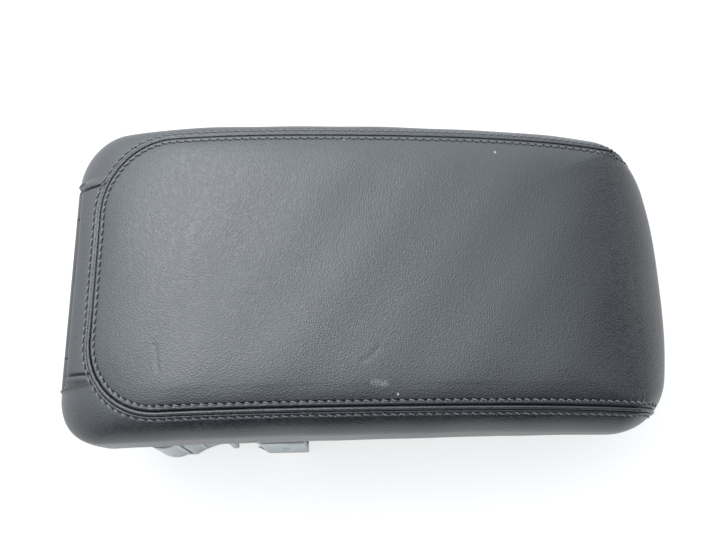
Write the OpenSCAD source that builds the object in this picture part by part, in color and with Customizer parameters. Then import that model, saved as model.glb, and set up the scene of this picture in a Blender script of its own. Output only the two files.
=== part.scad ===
// Centre armrest of a car: an upholstered lid that swings up on a cast hinge base.
// +X points at the lid's nose, +Y to its far side and +Z up. The base stands on z = 0.

/* [Lid outline] */
// Length from the hinge barrel's rear to the nose
overall_len = 329; // [300:1:350]
// Full width just ahead of the rear corners
lid_w_rear = 180.6; // [170:0.2:190]
// Full width just behind the nose corners
lid_w_front = 174; // [164:0.2:180]
// Radius of the rear corners at the widest contour
rear_corner_r = 40; // [34:1:44]
// Radius of the nose corners at the widest contour
nose_corner_r = 28; // [22:1:32]
// How far the nose bows forward at its middle
nose_bow = 7; // [3:0.5:10]
// How far the ears reach behind the hinge axis
ear_reach = 9; // [6:0.5:12]
// How far the rear panel reaches behind the hinge axis
rear_panel_reach = 2; // [0:0.5:4]

/* [Seam] */
// Width between the two long seams
seam_w = 151.2; // [140:0.2:156]
// Distance from the ears' rear to the rear seam
seam_rear_inset = 16; // [12:0.5:20]
// Distance from the nose tip back to where the top rolls over
seam_nose_inset = 25; // [18:0.5:32]
// Radius of the seam's rear corners
seam_corner_r = 34.5; // [28:0.5:38]
// Radius of the corners where the top rolls over the nose
nose_edge_r = 3; // [2:0.5:5]
// Width of the gap between the panels that the welt fills
welt_gap = 2.6; // [2:0.1:4]
// Diameter of the welt
welt_d = 2.4; // [1.6:0.1:3]

/* [Lid heights] */
// Height of the lid's side, from its bottom edge to the seam
side_h = 52; // [46:0.5:60]
// Fall of the seam from the middle to the nose that comes from its tilt
seam_tilt = 9; // [5:0.1:13]
// Fall of the seam from the middle to either end that comes from its camber
seam_camber = 16.8; // [11:0.1:19]
// Height of the crown above the seam in the middle
crown = 3.5; // [1:0.1:6]
// Drop from the seam to the widest contour along the sides
side_drop = 25; // [20:0.5:28]
// Drop from the seam level to the widest contour at the nose tip
nose_drop = 18.4; // [14:0.2:20]
// Drop from the seam to the rear panel's outermost line
rear_drop = 12; // [9:0.5:12.5]
// How far the side draws in below its widest contour
undercut = 4; // [2:0.5:6]

/* [Lid walls] */
// Thickness of the leather with its lining
leather_t = 1.4; // [1:0.1:2]
// Width of the leather's hem under the lid
hem_w = 7.8; // [5:0.1:9]
// Thickness of the foam on top
foam_top = 7; // [5:0.5:9]
// Thickness of the foam round the sides
foam_side = 4; // [3:0.5:5]
// Wall of the upper and lower shells
shell_t = 2.5; // [2:0.1:3]
// Play between layers that lie on each other
layer_gap = 0.1; // [0.05:0.05:0.2]
// Depth of the tray pressed up into the lower shell
tray_h = 3; // [2:0.5:3.5]
// Length of that tray
tray_len = 190; // [150:5:200]
// Width of that tray
tray_w = 110; // [80:2:116]

/* [Base] */
// Height of the base's side walls
base_h = 38; // [34:1:44]
// Gap between the base's walls and the lid's bottom edge
lid_gap = 2; // [1.5:0.1:3]
// Length of the base's side walls
base_len = 91; // [84:1:96]
// Full width over the base's side walls
base_w = 167.2; // [160:0.2:169]
// Distance from the hinge axis forward to the base's rear wall
base_setback = 24.5; // [22:0.5:28]
// Thickness of the base's side walls
wall_t = 3.6; // [3:0.1:5]
// Thickness of the base's floor
floor_t = 4; // [3:0.5:6]
// Length of the tongue under the lid
tongue_len = 60; // [50:1:80]
// Width of the tongue
tongue_w = 124; // [120:2:140]
// Radius of the round posts at the base's rear corners
post_r = 14; // [11:0.5:15]
// How far the posts stand out of the side walls
post_out = 1.5; // [0.5:0.1:2.5]
// Radius of the four fixing holes
bolt_r = 3.25; // [2.5:0.05:4.25]
// Spacing of the fixing holes along X
bolt_dx = 124; // [115:1:130]
// Spacing of the fixing holes along Y
bolt_dy = 104; // [100:1:110]

/* [Hinge] */
// Height of the hinge axis above the lid's bottom edge
hinge_rise = 14; // [13:0.5:15]
// Outer radius of the hinge covers
cover_r = 13; // [12.5:0.1:14]
// Wall of the hinge covers
cover_t = 0.9; // [0.7:0.1:1.2]
// Width of the middle cover
cover_w = 78.8; // [74:0.2:82]
// Width of the slits beside the middle cover
slit_w = 0.8; // [0.6:0.1:1.2]
// Width over the outer ends of the hinge covers
barrel_w = 114; // [112:0.5:118]
// Diameter of the hinge pin
pin_d = 8; // [6:0.5:9]
// Radial play of the arms on the pin
run_gap = 0.05; // [0.02:0.01:0.08]
// Play of a pressed-in part
seat_gap = 0.02; // [0.01:0.01:0.04]
// Width of each hinge lug on the base
lug_w = 12; // [8:0.5:14]
// Width of each arm's knuckle
knuckle_w = 6; // [5:0.5:7]
// Wall of the bushes
bush_t = 1.45; // [1:0.05:2]
// Wire diameter of the lid springs
spring_wire = 2; // [1.6:0.1:2.2]
// Coil diameter of the lid springs, at the wire's middle
spring_d = 15; // [14:0.5:16]
// Turns of each lid spring
spring_turns = 2.25; // [1.25:1:2.25]
// Radial room between the covers and the lid's recess
recess_gap = 1.4; // [1:0.1:2]
// Wall of the lid's recess round the hinge
recess_t = 1.6; // [1.2:0.1:2]
// Opening angle of the lid, in degrees
open_angle = 78; // [60:1:80]

/* [Latch] */
// Distance from the nose tip back to the latch pivot
latch_setback = 38; // [34:1:44]
// Diameter of the latch pin
latch_pin_d = 4; // [3:0.5:5]
// Height of the latch pivot above the lid's bottom edge
latch_rise = 10; // [9:0.5:11]
// Width of the release paddle
paddle_w = 52; // [40:1:60]
// Thickness of the release paddle
paddle_t = 3; // [2.5:0.5:4]
// Width of the latch lever between its cheeks
lever_w = 36; // [30:1:42]
// Length of the hook below the pivot
hook_len = 28; // [24:1:29]

/* [Hidden] */
$fn = 64;

// Places that follow from the sizes above
eps = 0.01;
nose_x = overall_len / 2;
hinge_x = -overall_len / 2 + cover_r;
lid_z = base_h + lid_gap;
hinge_z = lid_z + hinge_rise;
seam_z = lid_z + side_h;
ear_x = hinge_x - ear_reach;
rear_panel_x = hinge_x - rear_panel_reach;
recess_in = cover_r + recess_gap;
recess_out = recess_in + recess_t;
rear_panel_z = hinge_z + recess_out + 0.3;
seam_rear_x = ear_x + seam_rear_inset;
seam_nose_x = nose_x - seam_nose_inset;
seam_bow = nose_bow * seam_w / lid_w_front / 2;
cheek_gap = 0.4;
cheek_t = 1.2;
cheek_y = barrel_w / 2 + cheek_gap;
ear_y = cheek_y + cheek_t + cheek_gap;
base_x0 = hinge_x + base_setback;
base_x1 = base_x0 + base_len;

// Number of steps in each stretch of the rim, from the nose to the rear
n_nose = 4;
n_front = 6;
n_side = 8;
n_ear = 7;
n_rear = 4;
n_roll = 5;
n_wall = 3;
i_seam = n_nose + 2;
i_side = n_nose + n_front;
i_ear = i_side + n_side + n_ear;
i_rear = i_ear + 1;
n_half = i_rear + n_rear;
n_rim = 2 * n_half;
ring_scale = [0.12, 0.35, 0.6, 0.85];

// A rim is [nose x, bow, front half width, nose radius, rear x, rear half width, rear radius]
seam_rim = [seam_nose_x, seam_bow, seam_w / 2, nose_edge_r, seam_rear_x, seam_w / 2, seam_corner_r];
wide_rim = [nose_x, nose_bow, lid_w_front / 2, nose_corner_r, ear_x, lid_w_rear / 2, rear_corner_r];

// Height of the seam at a place along the lid
function seam_height(x) = let (u = x / nose_x) seam_z - seam_tilt * u - seam_camber * u * u;

// X of a rim's rear at a distance y from the middle
function rear_x_at(c, y) =
    let (cy = c[5] - c[6])
    y <= cy ? c[4] : c[4] + c[6] - sqrt(pow(c[6], 2) - pow(y - cy, 2));

// Half a rim, from the nose's middle over the far side to the rear's middle, in four stretches.
// The ears end at y = split, and rear_at gives the rear stretch its own X where it is a number.
function half_rim(c, split, rear_at) =
    let (
        a0 = atan(2 * c[1] / (c[2] - 0.75 * c[3])),
        y0 = c[2] - c[3] + c[3] * sin(a0),
        xf = c[0] - c[1] - c[3] * cos(a0),
        xr = c[4] + c[6],
        yr = c[5] - c[6],
        as = asin(max(0, (split - yr) / c[6]))
    )
    concat(
        [for (i = [0 : n_nose - 1]) let (u = i / n_nose) [c[0] - c[1] * u * u, y0 * u]],
        [for (i = [0 : n_front]) let (a = a0 + (90 - a0) * i / n_front)
            [xf + c[3] * cos(a), c[2] - c[3] + c[3] * sin(a)]],
        [for (i = [1 : n_side - 1]) let (u = i / n_side) [xf + (xr - xf) * u, c[2] + (c[5] - c[2]) * u]],
        [for (i = [0 : n_ear]) let (a = 90 + (90 - as) * i / n_ear)
            [xr + c[6] * cos(a), yr + c[6] * sin(a)]],
        [for (i = [0 : n_rear]) let (y = (split - 0.5) * (1 - i / n_rear))
            [is_num(rear_at) ? rear_at : rear_x_at(c, y), y]]
    );

// The whole rim: the far half, then its mirror image back to the nose
function whole_rim(h) = concat(h, [for (i = [n_half - 1 : -1 : 1]) [h[i].x, -h[i].y]]);

// Which stretch a point of the whole rim is in, counted on the far half
function half_index(i) = i <= n_half ? i : n_rim - i;

// Drop from the seam level to the widest contour, and the wall's bottom, at a point of the rim
function drop_at(i) =
    let (h = half_index(i), u = min(1, max(0, (h - n_nose) / n_front)))
    h >= i_rear ? rear_drop : nose_drop + (side_drop - nose_drop) * u;
function bottom_at(i) = half_index(i) >= i_rear ? rear_panel_z : lid_z;

// One row of points on the surface that lies dh inside and dv under the lid's outer skin.
// Along the roll, plan position goes with the sine and height with the cosine of the angle.
function roll_row(s, w, angle, dh, dv) = [for (i = [0 : n_rim - 1])
    let (
        l = norm(w[i] - s[i]),
        p = s[i] + (w[i] - s[i]) * sin(angle) * (l - dh) / l
    )
    [p.x, p.y, seam_height(p.x) - dv - (drop_at(i) - dv) * (1 - cos(angle))]];

// One row under the widest contour: u goes from 0 there to 1 at the bottom edge, and the
// wall draws in with the square of the depth
function wall_row(s, w, u, dh, lift, hem) = [for (i = [0 : n_rim - 1])
    let (
        l = norm(w[i] - s[i]),
        n = (s[i] - w[i]) / l,
        top = seam_height(w[i].x) - drop_at(i),
        low = bottom_at(i),
        z = max(top + (low - top) * u, low + lift + 0.02 * (1 - u)),
        t = (top - z) / (top - low),
        p = w[i] + n * (dh + undercut * t * t + hem)
    )
    [p.x, p.y, z]];

// One ring inside the seam: the seam's rim shrunk by k, raised to the crown
function crown_row(s, k, dv) = [for (i = [0 : n_rim - 1])
    [s[i].x * k, s[i].y * k, seam_height(s[i].x * k) + crown * (1 - k * k) - dv]];

// The rims of the surface that lies dh inside the skin
function inner_seam(dh) = whole_rim(half_rim(seam_rim, ear_y + dh));
function outer_wide(dh) = whole_rim(
    let (h = half_rim(wide_rim, ear_y + dh))
    [for (i = [0 : n_half]) i >= i_rear ? [rear_panel_x, h[i].y] : h[i]]);

// Rows of a surface inside the seam, round the roll and down the wall
function top_rows(dh, dv) = let (s = inner_seam(dh)) concat(
    [for (k = ring_scale) crown_row(s, k, dv)], [crown_row(s, 1, dv)]);
function roll_rows(dh, dv, first) = let (s = inner_seam(dh), w = outer_wide(dh))
    [for (j = [0 : n_roll]) roll_row(s, w, max(first, 90 * j / n_roll), dh, dv)];
function wall_rows(dh, count, lift) = let (s = inner_seam(dh), w = outer_wide(dh))
    [for (j = [1 : count]) wall_row(s, w, j / n_wall, dh, lift, 0)];
function hem_row(dh, lift) = let (s = inner_seam(dh), w = outer_wide(dh))
    [wall_row(s, w, 1, 0, lift, hem_w)];

// Two triangles for the four corners a, b, c, d
function quad(a, b, c, d) = [[a, b, c], [a, c, d]];

// Closes the space between an outer and an inner set of rows. Rows run outwards and down and
// points run round the rim, from first to last. A ring goes all the way and has its middle
// filled, and a strip is closed at both of its ends.
module skin(outer, inner, first = 0, last = n_rim, ring = true) {
    n = ring ? n_rim : last - first + 1;
    rows = len(outer);
    under = rows * n;
    points = [for (set = [outer, inner]) for (r = set) for (i = [0 : n - 1]) r[(i + first + n_rim) % n_rim]];
    steps = ring ? n - 1 : n - 2;
    outside = [for (j = [0 : rows - 2]) for (i = [0 : steps]) let (k = (i + 1) % n)
        each quad(j * n + i, j * n + k, (j + 1) * n + k, (j + 1) * n + i)];
    inside = [for (f = outside) [f[0] + under, f[2] + under, f[1] + under]];
    e = (rows - 1) * n;
    edge = [for (i = [0 : steps]) let (k = (i + 1) % n) each quad(e + i, e + k, e + k + under, e + i + under)];
    top_cap = ring
        ? [[for (i = [n - 1 : -1 : 0]) i], [for (i = [0 : n - 1]) i + under]]
        : [for (i = [0 : steps]) each quad(i + 1, i, i + under, i + 1 + under)];
    ends = ring ? [] : [for (j = [0 : rows - 2]) let (a = j * n, b = (j + 1) * n) each concat(
        quad(a, b, b + under, a + under),
        quad(b + n - 1, a + n - 1, a + n - 1 + under, b + n - 1 + under))];
    polyhedron(points, concat(outside, inside, edge, top_cap, ends), convexity = 8);
}

// Rows of the leather's outer and inner faces, from an angle on the roll down to its hem
function leather_out(first) = concat(roll_rows(0, 0, first), wall_rows(0, n_wall, 0), hem_row(0, 0));
function leather_in(first) = concat(roll_rows(leather_t, leather_t, first),
    wall_rows(leather_t, n_wall, leather_t), hem_row(leather_t, leather_t));

// The angles on the roll at which the side and rear panels start beyond the welt
welt_angle = asin(2 * welt_gap / (lid_w_front - seam_w));
welt_angle_rear = asin(welt_gap / (seam_rear_x - rear_panel_x));

// Height of a surface dv under the skin inside the seam, taken along a straight side
function ceiling_z(x, y, dv) = seam_height(x) + crown * (1 - pow(2 * y / seam_w, 2)) - dv;

shell_dh = leather_t + foam_side + 2 * layer_gap;
shell_dv = leather_t + foam_top + 2 * layer_gap;
foam_d = leather_t + layer_gap;

module top_panel() {
    color([0.13, 0.14, 0.15])
    union() {
        skin(top_rows(0, 0), top_rows(leather_t, leather_t));
        skin(leather_out(0), leather_in(0), -i_seam, i_seam, false);
    }
}

module side_panel(first, last) {
    color([0.1, 0.1, 0.11])
    skin(leather_out(welt_angle), leather_in(welt_angle), first, last, false);
}

module side_panel_left() {
    side_panel(i_seam, i_rear);
}

module side_panel_right() {
    side_panel(n_rim - i_rear, n_rim - i_seam);
}

module rear_panel() {
    color([0.11, 0.11, 0.12])
    skin(leather_out(welt_angle_rear), leather_in(welt_angle_rear), i_rear, n_rim - i_rear, false);
}

module foam_pad() {
    color([0.75, 0.72, 0.6])
    skin(
        concat(top_rows(foam_d, foam_d), [for (j = [1 : n_roll]) roll_rows(foam_d, foam_d, 0)[j]],
            wall_rows(foam_d, n_wall - 1, leather_t + layer_gap)),
        let (h = foam_d + foam_side, v = foam_d + foam_top)
        concat(top_rows(h, v), [for (j = [1 : n_roll]) roll_rows(h, v, 0)[j]],
            wall_rows(h, n_wall - 1, leather_t + layer_gap)));
}

// A round tube along a list of points, closed at its ends
module cord(path, r, sides = 8) {
    n = len(path);
    points = [for (i = [0 : n - 1])
        let (
            d = path[min(n - 1, i + 1)] - path[max(0, i - 1)],
            t = d / norm(d),
            g = abs(t.y) > 0.9 ? [1, 0, 0] : [0, 1, 0],
            u = cross(g, t) / norm(cross(g, t)),
            v = cross(t, u)
        )
        for (k = [0 : sides - 1]) path[i] + r * (cos(360 * k / sides) * u + sin(360 * k / sides) * v)];
    walls = [for (i = [0 : n - 2]) for (k = [0 : sides - 1])
        let (m = (k + 1) % sides)
        each quad(i * sides + k, (i + 1) * sides + k, (i + 1) * sides + m, i * sides + m)];
    polyhedron(points, concat(walls, [[for (k = [0 : sides - 1]) k],
        [for (k = [sides - 1 : -1 : 0]) (n - 1) * sides + k]]), convexity = 4);
}

// The welt lies in the gap between the top and the side panels, all round the seam
module seam_welt() {
    s = inner_seam(0);
    w = outer_wide(0);
    color([0.07, 0.07, 0.08])
    cord([for (i = [i_seam + 2 : n_rim - i_seam - 2])
        let (p = s[i] + (w[i] - s[i]) / norm(w[i] - s[i]) * welt_gap / 2)
        [p.x, p.y, seam_height(p.x) - welt_d / 8]], welt_d / 2, 6);
}

// Places of the screws that hold the arms and the lower shell
arm_y = cover_w / 2 + slit_w + 0.8;
knuckle_y1 = barrel_w / 2 - 3;
knuckle_y0 = knuckle_y1 - knuckle_w;
arm_t = 3;
flange_x = (spring_d + spring_wire) / 2 + 0.8;
arm_len = 92;
arm_screw_x = [for (i = [0 : 2]) hinge_x + arm_len - 9 - 26 * i];
arm_screw_y = (arm_y + knuckle_y0) / 2;
arm_screw_head = (knuckle_y0 - arm_y) / 2 - 0.2;
arm_z = hinge_z + 1;
screw_r = 2;
shell_screw_x = [for (i = [-1 : 1]) i * overall_len * 0.3];
shell_screw_y = seam_w / 2 - 10;

// A boss that hangs from the upper shell's ceiling down to z, with a blind screw hole
module ceiling_boss(x, y, z, r) {
    top = ceiling_z(x, y, shell_dv + shell_t / 2);
    translate([x, y, z])
    difference() {
        union() {
            cylinder(r = r, h = top - z - shell_t / 2);
            cylinder(r = r / 2, h = top - z);
        }
        translate([0, 0, -eps]) cylinder(r = screw_r + seat_gap, h = 11);
    }
}

module upper_shell() {
    color([0.2, 0.2, 0.21])
    union() {
        skin(
            concat(top_rows(shell_dh, shell_dv),
                [for (j = [1 : n_roll]) roll_rows(shell_dh, shell_dv, 0)[j]],
                wall_rows(shell_dh, n_wall, leather_t + layer_gap)),
            let (h = shell_dh + shell_t, v = shell_dv + shell_t)
            concat(top_rows(h, v), [for (j = [1 : n_roll]) roll_rows(h, v, 0)[j]],
                wall_rows(h, n_wall, leather_t + layer_gap)));
        for (side = [-1, 1]) {
            for (x = arm_screw_x) ceiling_boss(x, side * arm_screw_y, arm_z + arm_t + layer_gap, 5);
            for (x = shell_screw_x) ceiling_boss(x, side * shell_screw_y, lid_z + shell_t + layer_gap, 4.5);
        }
    }
}

// Outline of the lower shell's floor, inside the leather's hem
function floor_outline() =
    let (
        s = half_rim(seam_rim, ear_y),
        w = half_rim(wide_rim, ear_y),
        in = undercut + hem_w + 0.3,
        far = [for (i = [0 : i_ear]) w[i] + (s[i] - w[i]) / norm(s[i] - w[i]) * in],
        all = concat(far, [[hinge_x + recess_in, ear_y]])
    )
    concat(all, [for (i = [len(all) - 1 : -1 : 1]) [all[i].x, -all[i].y]]);

module rounded_box(x0, x1, w, r, h) {
    linear_extrude(h)
    union() {
        translate([x0 + r, -w / 2]) square([x1 - x0 - 2 * r, w]);
        translate([x0, -w / 2 + r]) square([x1 - x0, w - 2 * r]);
        for (x = [x0 + r, x1 - r]) for (y = [-w / 2 + r, w / 2 - r]) translate([x, y]) circle(r);
    }
}

// Turns a drawing in X and Z into a plate that spans y0 to y1
module plate_xz(y0, y1) {
    translate([0, y1, 0]) rotate([90, 0, 0]) linear_extrude(y1 - y0) children();
}

// The curved recess that the lid leaves round the hinge barrel
module hinge_recess() {
    half = cheek_y + cheek_t;
    difference() {
        union() {
            plate_xz(-half, half)
            intersection() {
                difference() {
                    union() {
                        translate([hinge_x, hinge_z]) circle(recess_out);
                        translate([hinge_x, lid_z]) square([recess_out, hinge_rise]);
                    }
                    translate([hinge_x, hinge_z]) circle(recess_in);
                    translate([hinge_x - recess_in, lid_z - 1]) square([2 * recess_in, hinge_rise + 1]);
                }
                translate([hinge_x - rear_panel_reach, lid_z]) square([30, 40]);
            }
            for (side = [-1, 1])
                plate_xz(min(side * cheek_y, side * half), max(side * cheek_y, side * half))
                polygon([[ear_x + undercut + 1, lid_z], [ear_x + 2, lid_z + 10], [ear_x + 1.5, hinge_z + 8],
                    [ear_x + 4, rear_panel_z - 0.2], [hinge_x, rear_panel_z - 0.2],
                    [hinge_x + recess_out, hinge_z], [hinge_x + recess_out, lid_z]]);
        }
        for (side = [-1, 1])
            translate([hinge_x + 8, side * (arm_y + knuckle_y1) / 2 - (knuckle_y1 - arm_y) / 2 - 0.5, hinge_z - 10])
            cube([12, knuckle_y1 - arm_y + 1, 16]);
    }
}

latch_x = nose_x - latch_setback;
latch_z = lid_z + latch_rise;

module lower_shell() {
    color([0.16, 0.16, 0.17])
    difference() {
        union() {
            translate([0, 0, lid_z]) linear_extrude(shell_t) polygon(floor_outline());
            translate([0, 0, lid_z]) rounded_box(-tray_len / 2, tray_len / 2, tray_w, 16, shell_t + tray_h);
            hinge_recess();
        }
        translate([0, 0, lid_z - eps])
            rounded_box(-tray_len / 2 + shell_t, tray_len / 2 - shell_t, tray_w - 2 * shell_t, 14, tray_h + eps);
        for (x = shell_screw_x) for (side = [-1, 1]) translate([x, side * shell_screw_y, lid_z - eps]) {
            cylinder(r = screw_r + 0.2, h = shell_t + 1);
            cylinder(r = 4.3, h = 1.4);
        }
        for (x = latch_screw_x) for (side = [-1, 1]) translate([x, side * latch_screw_y, lid_z - eps])
            cylinder(r = 1.7, h = shell_t + 1);
        translate([latch_x - 9, -lever_w / 2 - 0.5, lid_z - 1]) cube([18, lever_w + 1, shell_t + 2]);
    }
}

// A pan-head screw whose head's underside is at z = 0 and whose shank points up
module screw(r, head_r, head_h, len) {
    cylinder(r = r, h = len);
    translate([0, 0, -head_h])
    difference() {
        cylinder(r = head_r, h = head_h);
        translate([0, 0, -eps]) {
            translate([-r, -r / 4, 0]) cube([2 * r, r / 2, head_h / 2]);
            translate([-r / 4, -r, 0]) cube([r / 2, 2 * r, head_h / 2]);
        }
    }
}

module arm_screws() {
    color([0.6, 0.6, 0.62])
    for (x = arm_screw_x) for (side = [-1, 1])
        translate([x, side * arm_screw_y, arm_z - layer_gap / 2]) screw(screw_r, arm_screw_head, 2, 12);
}

module shell_screws() {
    color([0.12, 0.12, 0.12])
    for (x = shell_screw_x) for (side = [-1, 1])
        translate([x, side * shell_screw_y, lid_z + 1.35]) screw(screw_r, 4, 1.3, 11);
}

// One hinge arm: a knuckle round the pin, a beam and a flange screwed under the upper shell
module hinge_arm() {
    beam_h = 6;
    difference() {
        union() {
            plate_xz(knuckle_y0, knuckle_y1)
            union() {
                translate([hinge_x, hinge_z]) circle(cover_r - cover_t - 0.4);
                polygon([[hinge_x, arm_z + arm_t], [hinge_x + arm_len, arm_z + arm_t],
                    [hinge_x + arm_len, arm_z], [hinge_x + arm_len - 30, arm_z - 1],
                    [hinge_x + 20, arm_z - beam_h], [hinge_x, arm_z - beam_h - 2]]);
            }
            translate([hinge_x + flange_x, arm_y, arm_z])
                cube([arm_len - flange_x, knuckle_y1 - arm_y, arm_t]);
        }
        translate([hinge_x, knuckle_y0 - 1, hinge_z]) rotate([-90, 0, 0])
            cylinder(d = pin_d + 2 * (run_gap + bush_t), h = knuckle_w + 2);
        for (x = arm_screw_x) translate([x, arm_screw_y, arm_z - 1]) cylinder(r = screw_r + 0.3, h = arm_t + 2);
    }
}

module hinge_arm_left() {
    color([0.62, 0.64, 0.66]) hinge_arm();
}

module hinge_arm_right() {
    color([0.62, 0.64, 0.66]) mirror([0, 1, 0]) hinge_arm();
}

// Flanged bushes pressed into the knuckles, running on the pin
module hinge_bushes() {
    bore = pin_d + 2 * run_gap;
    color([0.75, 0.6, 0.3])
    for (side = [0, 1]) mirror([0, side, 0])
    translate([hinge_x, knuckle_y0, hinge_z]) rotate([-90, 0, 0])
    difference() {
        union() {
            cylinder(d = bore + 2 * (bush_t - seat_gap), h = knuckle_w);
            translate([0, 0, -0.8 - seat_gap]) cylinder(d = bore + 6, h = 0.8);
            translate([0, 0, -0.8]) cylinder(d = bore + 2 * (bush_t - seat_gap), h = 0.8);
        }
        translate([0, 0, -2]) cylinder(d = bore, h = knuckle_w + 4);
    }
}

module hinge_pin() {
    half = knuckle_y1 + 1.8;
    color([0.7, 0.71, 0.73])
    translate([hinge_x, -half, hinge_z]) rotate([-90, 0, 0])
    difference() {
        union() {
            cylinder(d = pin_d, h = 2 * half);
        }
        for (z = [0.5, 2 * half - 1.3]) translate([0, 0, z])
            difference() {
                cylinder(d = pin_d + 2, h = 0.8);
                translate([0, 0, -1]) cylinder(d = pin_d - 1.6, h = 3);
            }
    }
}

module retaining_rings() {
    color([0.35, 0.35, 0.36])
    for (side = [0, 1]) mirror([0, side, 0])
    translate([hinge_x, knuckle_y1 + 0.53, hinge_z]) rotate([-90, 0, 0])
    difference() {
        cylinder(d = pin_d + 3.4, h = 0.74);
        translate([0, 0, -1]) cylinder(d = pin_d - 1.5, h = 3);
        translate([0, -pin_d * 0.3, -1]) cube([pin_d, pin_d * 0.6, 3]);
    }
}

// A lid spring: coils round the pin, one leg in the base's lug and one under the arm
module lid_spring() {
    r = spring_d / 2;
    y0 = cover_w / 2 + slit_w + spring_wire / 2;
    pitch = spring_wire * 1.1;
    steps = 14 * spring_turns;
    coil = [for (i = [0 : steps]) let (a = 180 + 360 * i / 14)
        [hinge_x + r * cos(a), y0 + pitch * i / 14, hinge_z + r * sin(a)]];
    end = coil[len(coil) - 1];
    start = [hinge_x - r, y0 - 1.8, hinge_z];
    cord(concat([[start.x, lug_y1 - 4, start.z], start, start + [0, 0.9, -0.3]],
        [for (i = [1 : len(coil) - 1]) coil[i]],
        [end + [3, 0, 0], [hinge_x + flange_x + 2, end.y, arm_z - spring_wire / 2 - 0.2]]),
        spring_wire / 2, 6);
}

module lid_springs() {
    color([0.3, 0.3, 0.32])
    for (side = [0, 1]) mirror([0, side, 0]) lid_spring();
}

// A tube along Y with a wedge left out, from angle a0 up to angle a1
module cover_tube(r0, r1, w, a0, a1) {
    n = 6;
    rotate([90, 0, 0]) linear_extrude(w)
    difference() {
        circle(r1);
        circle(r0);
        polygon(concat([[0, 0]], [for (i = [0 : n]) let (a = a0 + (a1 - a0) * i / n)
            2 * r1 * [cos(a), sin(a)]]));
    }
}

module hinge_cover() {
    color([0.55, 0.56, 0.58])
    translate([hinge_x, cover_w / 2, hinge_z])
    union() {
        cover_tube(cover_r - cover_t, cover_r, cover_w, 200, 330);
        cover_tube(spring_d / 2 + spring_wire, cover_r - cover_t / 2, 1.1, 200, 330);
        translate([0, 1.1 - cover_w, 0])
            cover_tube(spring_d / 2 + spring_wire, cover_r - cover_t / 2, 1.1, 200, 330);
    }
}

// An end cover of the barrel, which turns with the lid
module hinge_cap() {
    inner = cover_w / 2 + slit_w;
    color([0.5, 0.51, 0.53])
    translate([hinge_x, barrel_w / 2, hinge_z])
    union() {
        cover_tube(cover_r - cover_t, cover_r, barrel_w / 2 - inner, -46, 28);
        rotate([90, 0, 0]) cylinder(r = cover_r, h = cover_t);
    }
}

module hinge_cap_left() {
    hinge_cap();
}

module hinge_cap_right() {
    mirror([0, 1, 0]) hinge_cap();
}

// The base's lugs carry the pin
lug_y1 = cover_w / 2 - 1.4;
lug_y0 = lug_y1 - lug_w;
lug_r = cover_r - cover_t - 0.4;

module lug_profile() {
    translate([hinge_x, hinge_z]) circle(lug_r);
    polygon([[base_x0 + 1, 0], [base_x0 + 24, 0], [hinge_x + 12.2, base_h], [hinge_x + lug_r * cos(35),
        hinge_z - lug_r * sin(35)], [hinge_x, hinge_z], [hinge_x - lug_r * cos(20), hinge_z - lug_r * sin(20)],
        [hinge_x + 2, base_h / 2]]);
}

bolt_x0 = base_x0 + 15;
bolt_x1 = bolt_x0 + bolt_dx;
tongue_x1 = bolt_x1 + 12;

// Plan of the base's walls: a U that is open to the front
module wall_plan() {
    difference() {
        union() {
            translate([base_x0, -base_w / 2 + post_r]) square([wall_t, base_w - 2 * post_r]);
            for (side = [-1, 1]) {
                translate([base_x0 + post_r, side * (base_w / 2 + post_out - post_r)]) circle(post_r);
                translate([base_x0 + post_r, side * (base_w / 2 - wall_t / 2) - wall_t / 2])
                    square([base_len - post_r, wall_t]);
                translate([scoop_x0, side * (base_w / 2 - scoop_back / 2) - scoop_back / 2])
                    square([scoop_x1 - scoop_x0, scoop_back]);
            }
        }
        for (side = [-1, 1]) {
            translate([base_x0 + post_r, side * (base_w / 2 + post_out - post_r)]) circle(post_r - wall_t);
            translate([scoop_x1 - scoop_r * 0.18, side * (base_w / 2 + scoop_r - scoop_depth)]) circle(scoop_r);
            translate([groove_x, side * base_w / 2 - 1.5]) square([2, 3]);
        }
    }
}

// Places along the side wall, counted from its rear
groove_x = base_x0 + 23;
scoop_x0 = base_x0 + 26;
scoop_x1 = base_x0 + 54;
scoop_r = 38;
scoop_depth = 6.3;
scoop_back = 9.5;
window_x1 = base_x0 + 67;
post_x = base_x0 + 80;

module base_floor() {
    linear_extrude(floor_t)
    difference() {
        union() {
            translate([base_x0, -base_w / 2 + post_r]) square([post_r, base_w - 2 * post_r]);
            for (side = [-1, 1])
                translate([base_x0 + post_r, side * (base_w / 2 + post_out - post_r)]) circle(post_r);
            translate([base_x0 + post_r, -base_w / 2]) square([base_len - post_r, base_w]);
            translate([base_x1 - 20, -tongue_w / 2]) square([tongue_x1 - base_x1 + 8, tongue_w]);
            translate([tongue_x1 - 24, -tongue_w / 2 + 12]) square([24, tongue_w - 24]);
            for (side = [-1, 1]) translate([tongue_x1 - 12, side * (tongue_w / 2 - 12)]) circle(12);
        }
        for (side = [-1, 1]) {
            translate([scoop_x1, side * (base_w / 2 - 4.6) - 3.4]) square([window_x1 - scoop_x1, 6.8]);
            translate([scoop_x1 - scoop_r * 0.18, side * (base_w / 2 + scoop_r - scoop_depth)]) circle(scoop_r);
        }
        for (i = [-1, 0, 1]) for (x = [base_x0 + 34, base_x1 + 2])
            translate([x, i * 34 - 9]) rounded_slot(36, 18);
    }
}

module rounded_slot(len, w) {
    translate([w / 2, w / 2]) circle(w / 2);
    translate([len - w / 2, w / 2]) circle(w / 2);
    translate([w / 2, 0]) square([len - w, w]);
}

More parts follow.
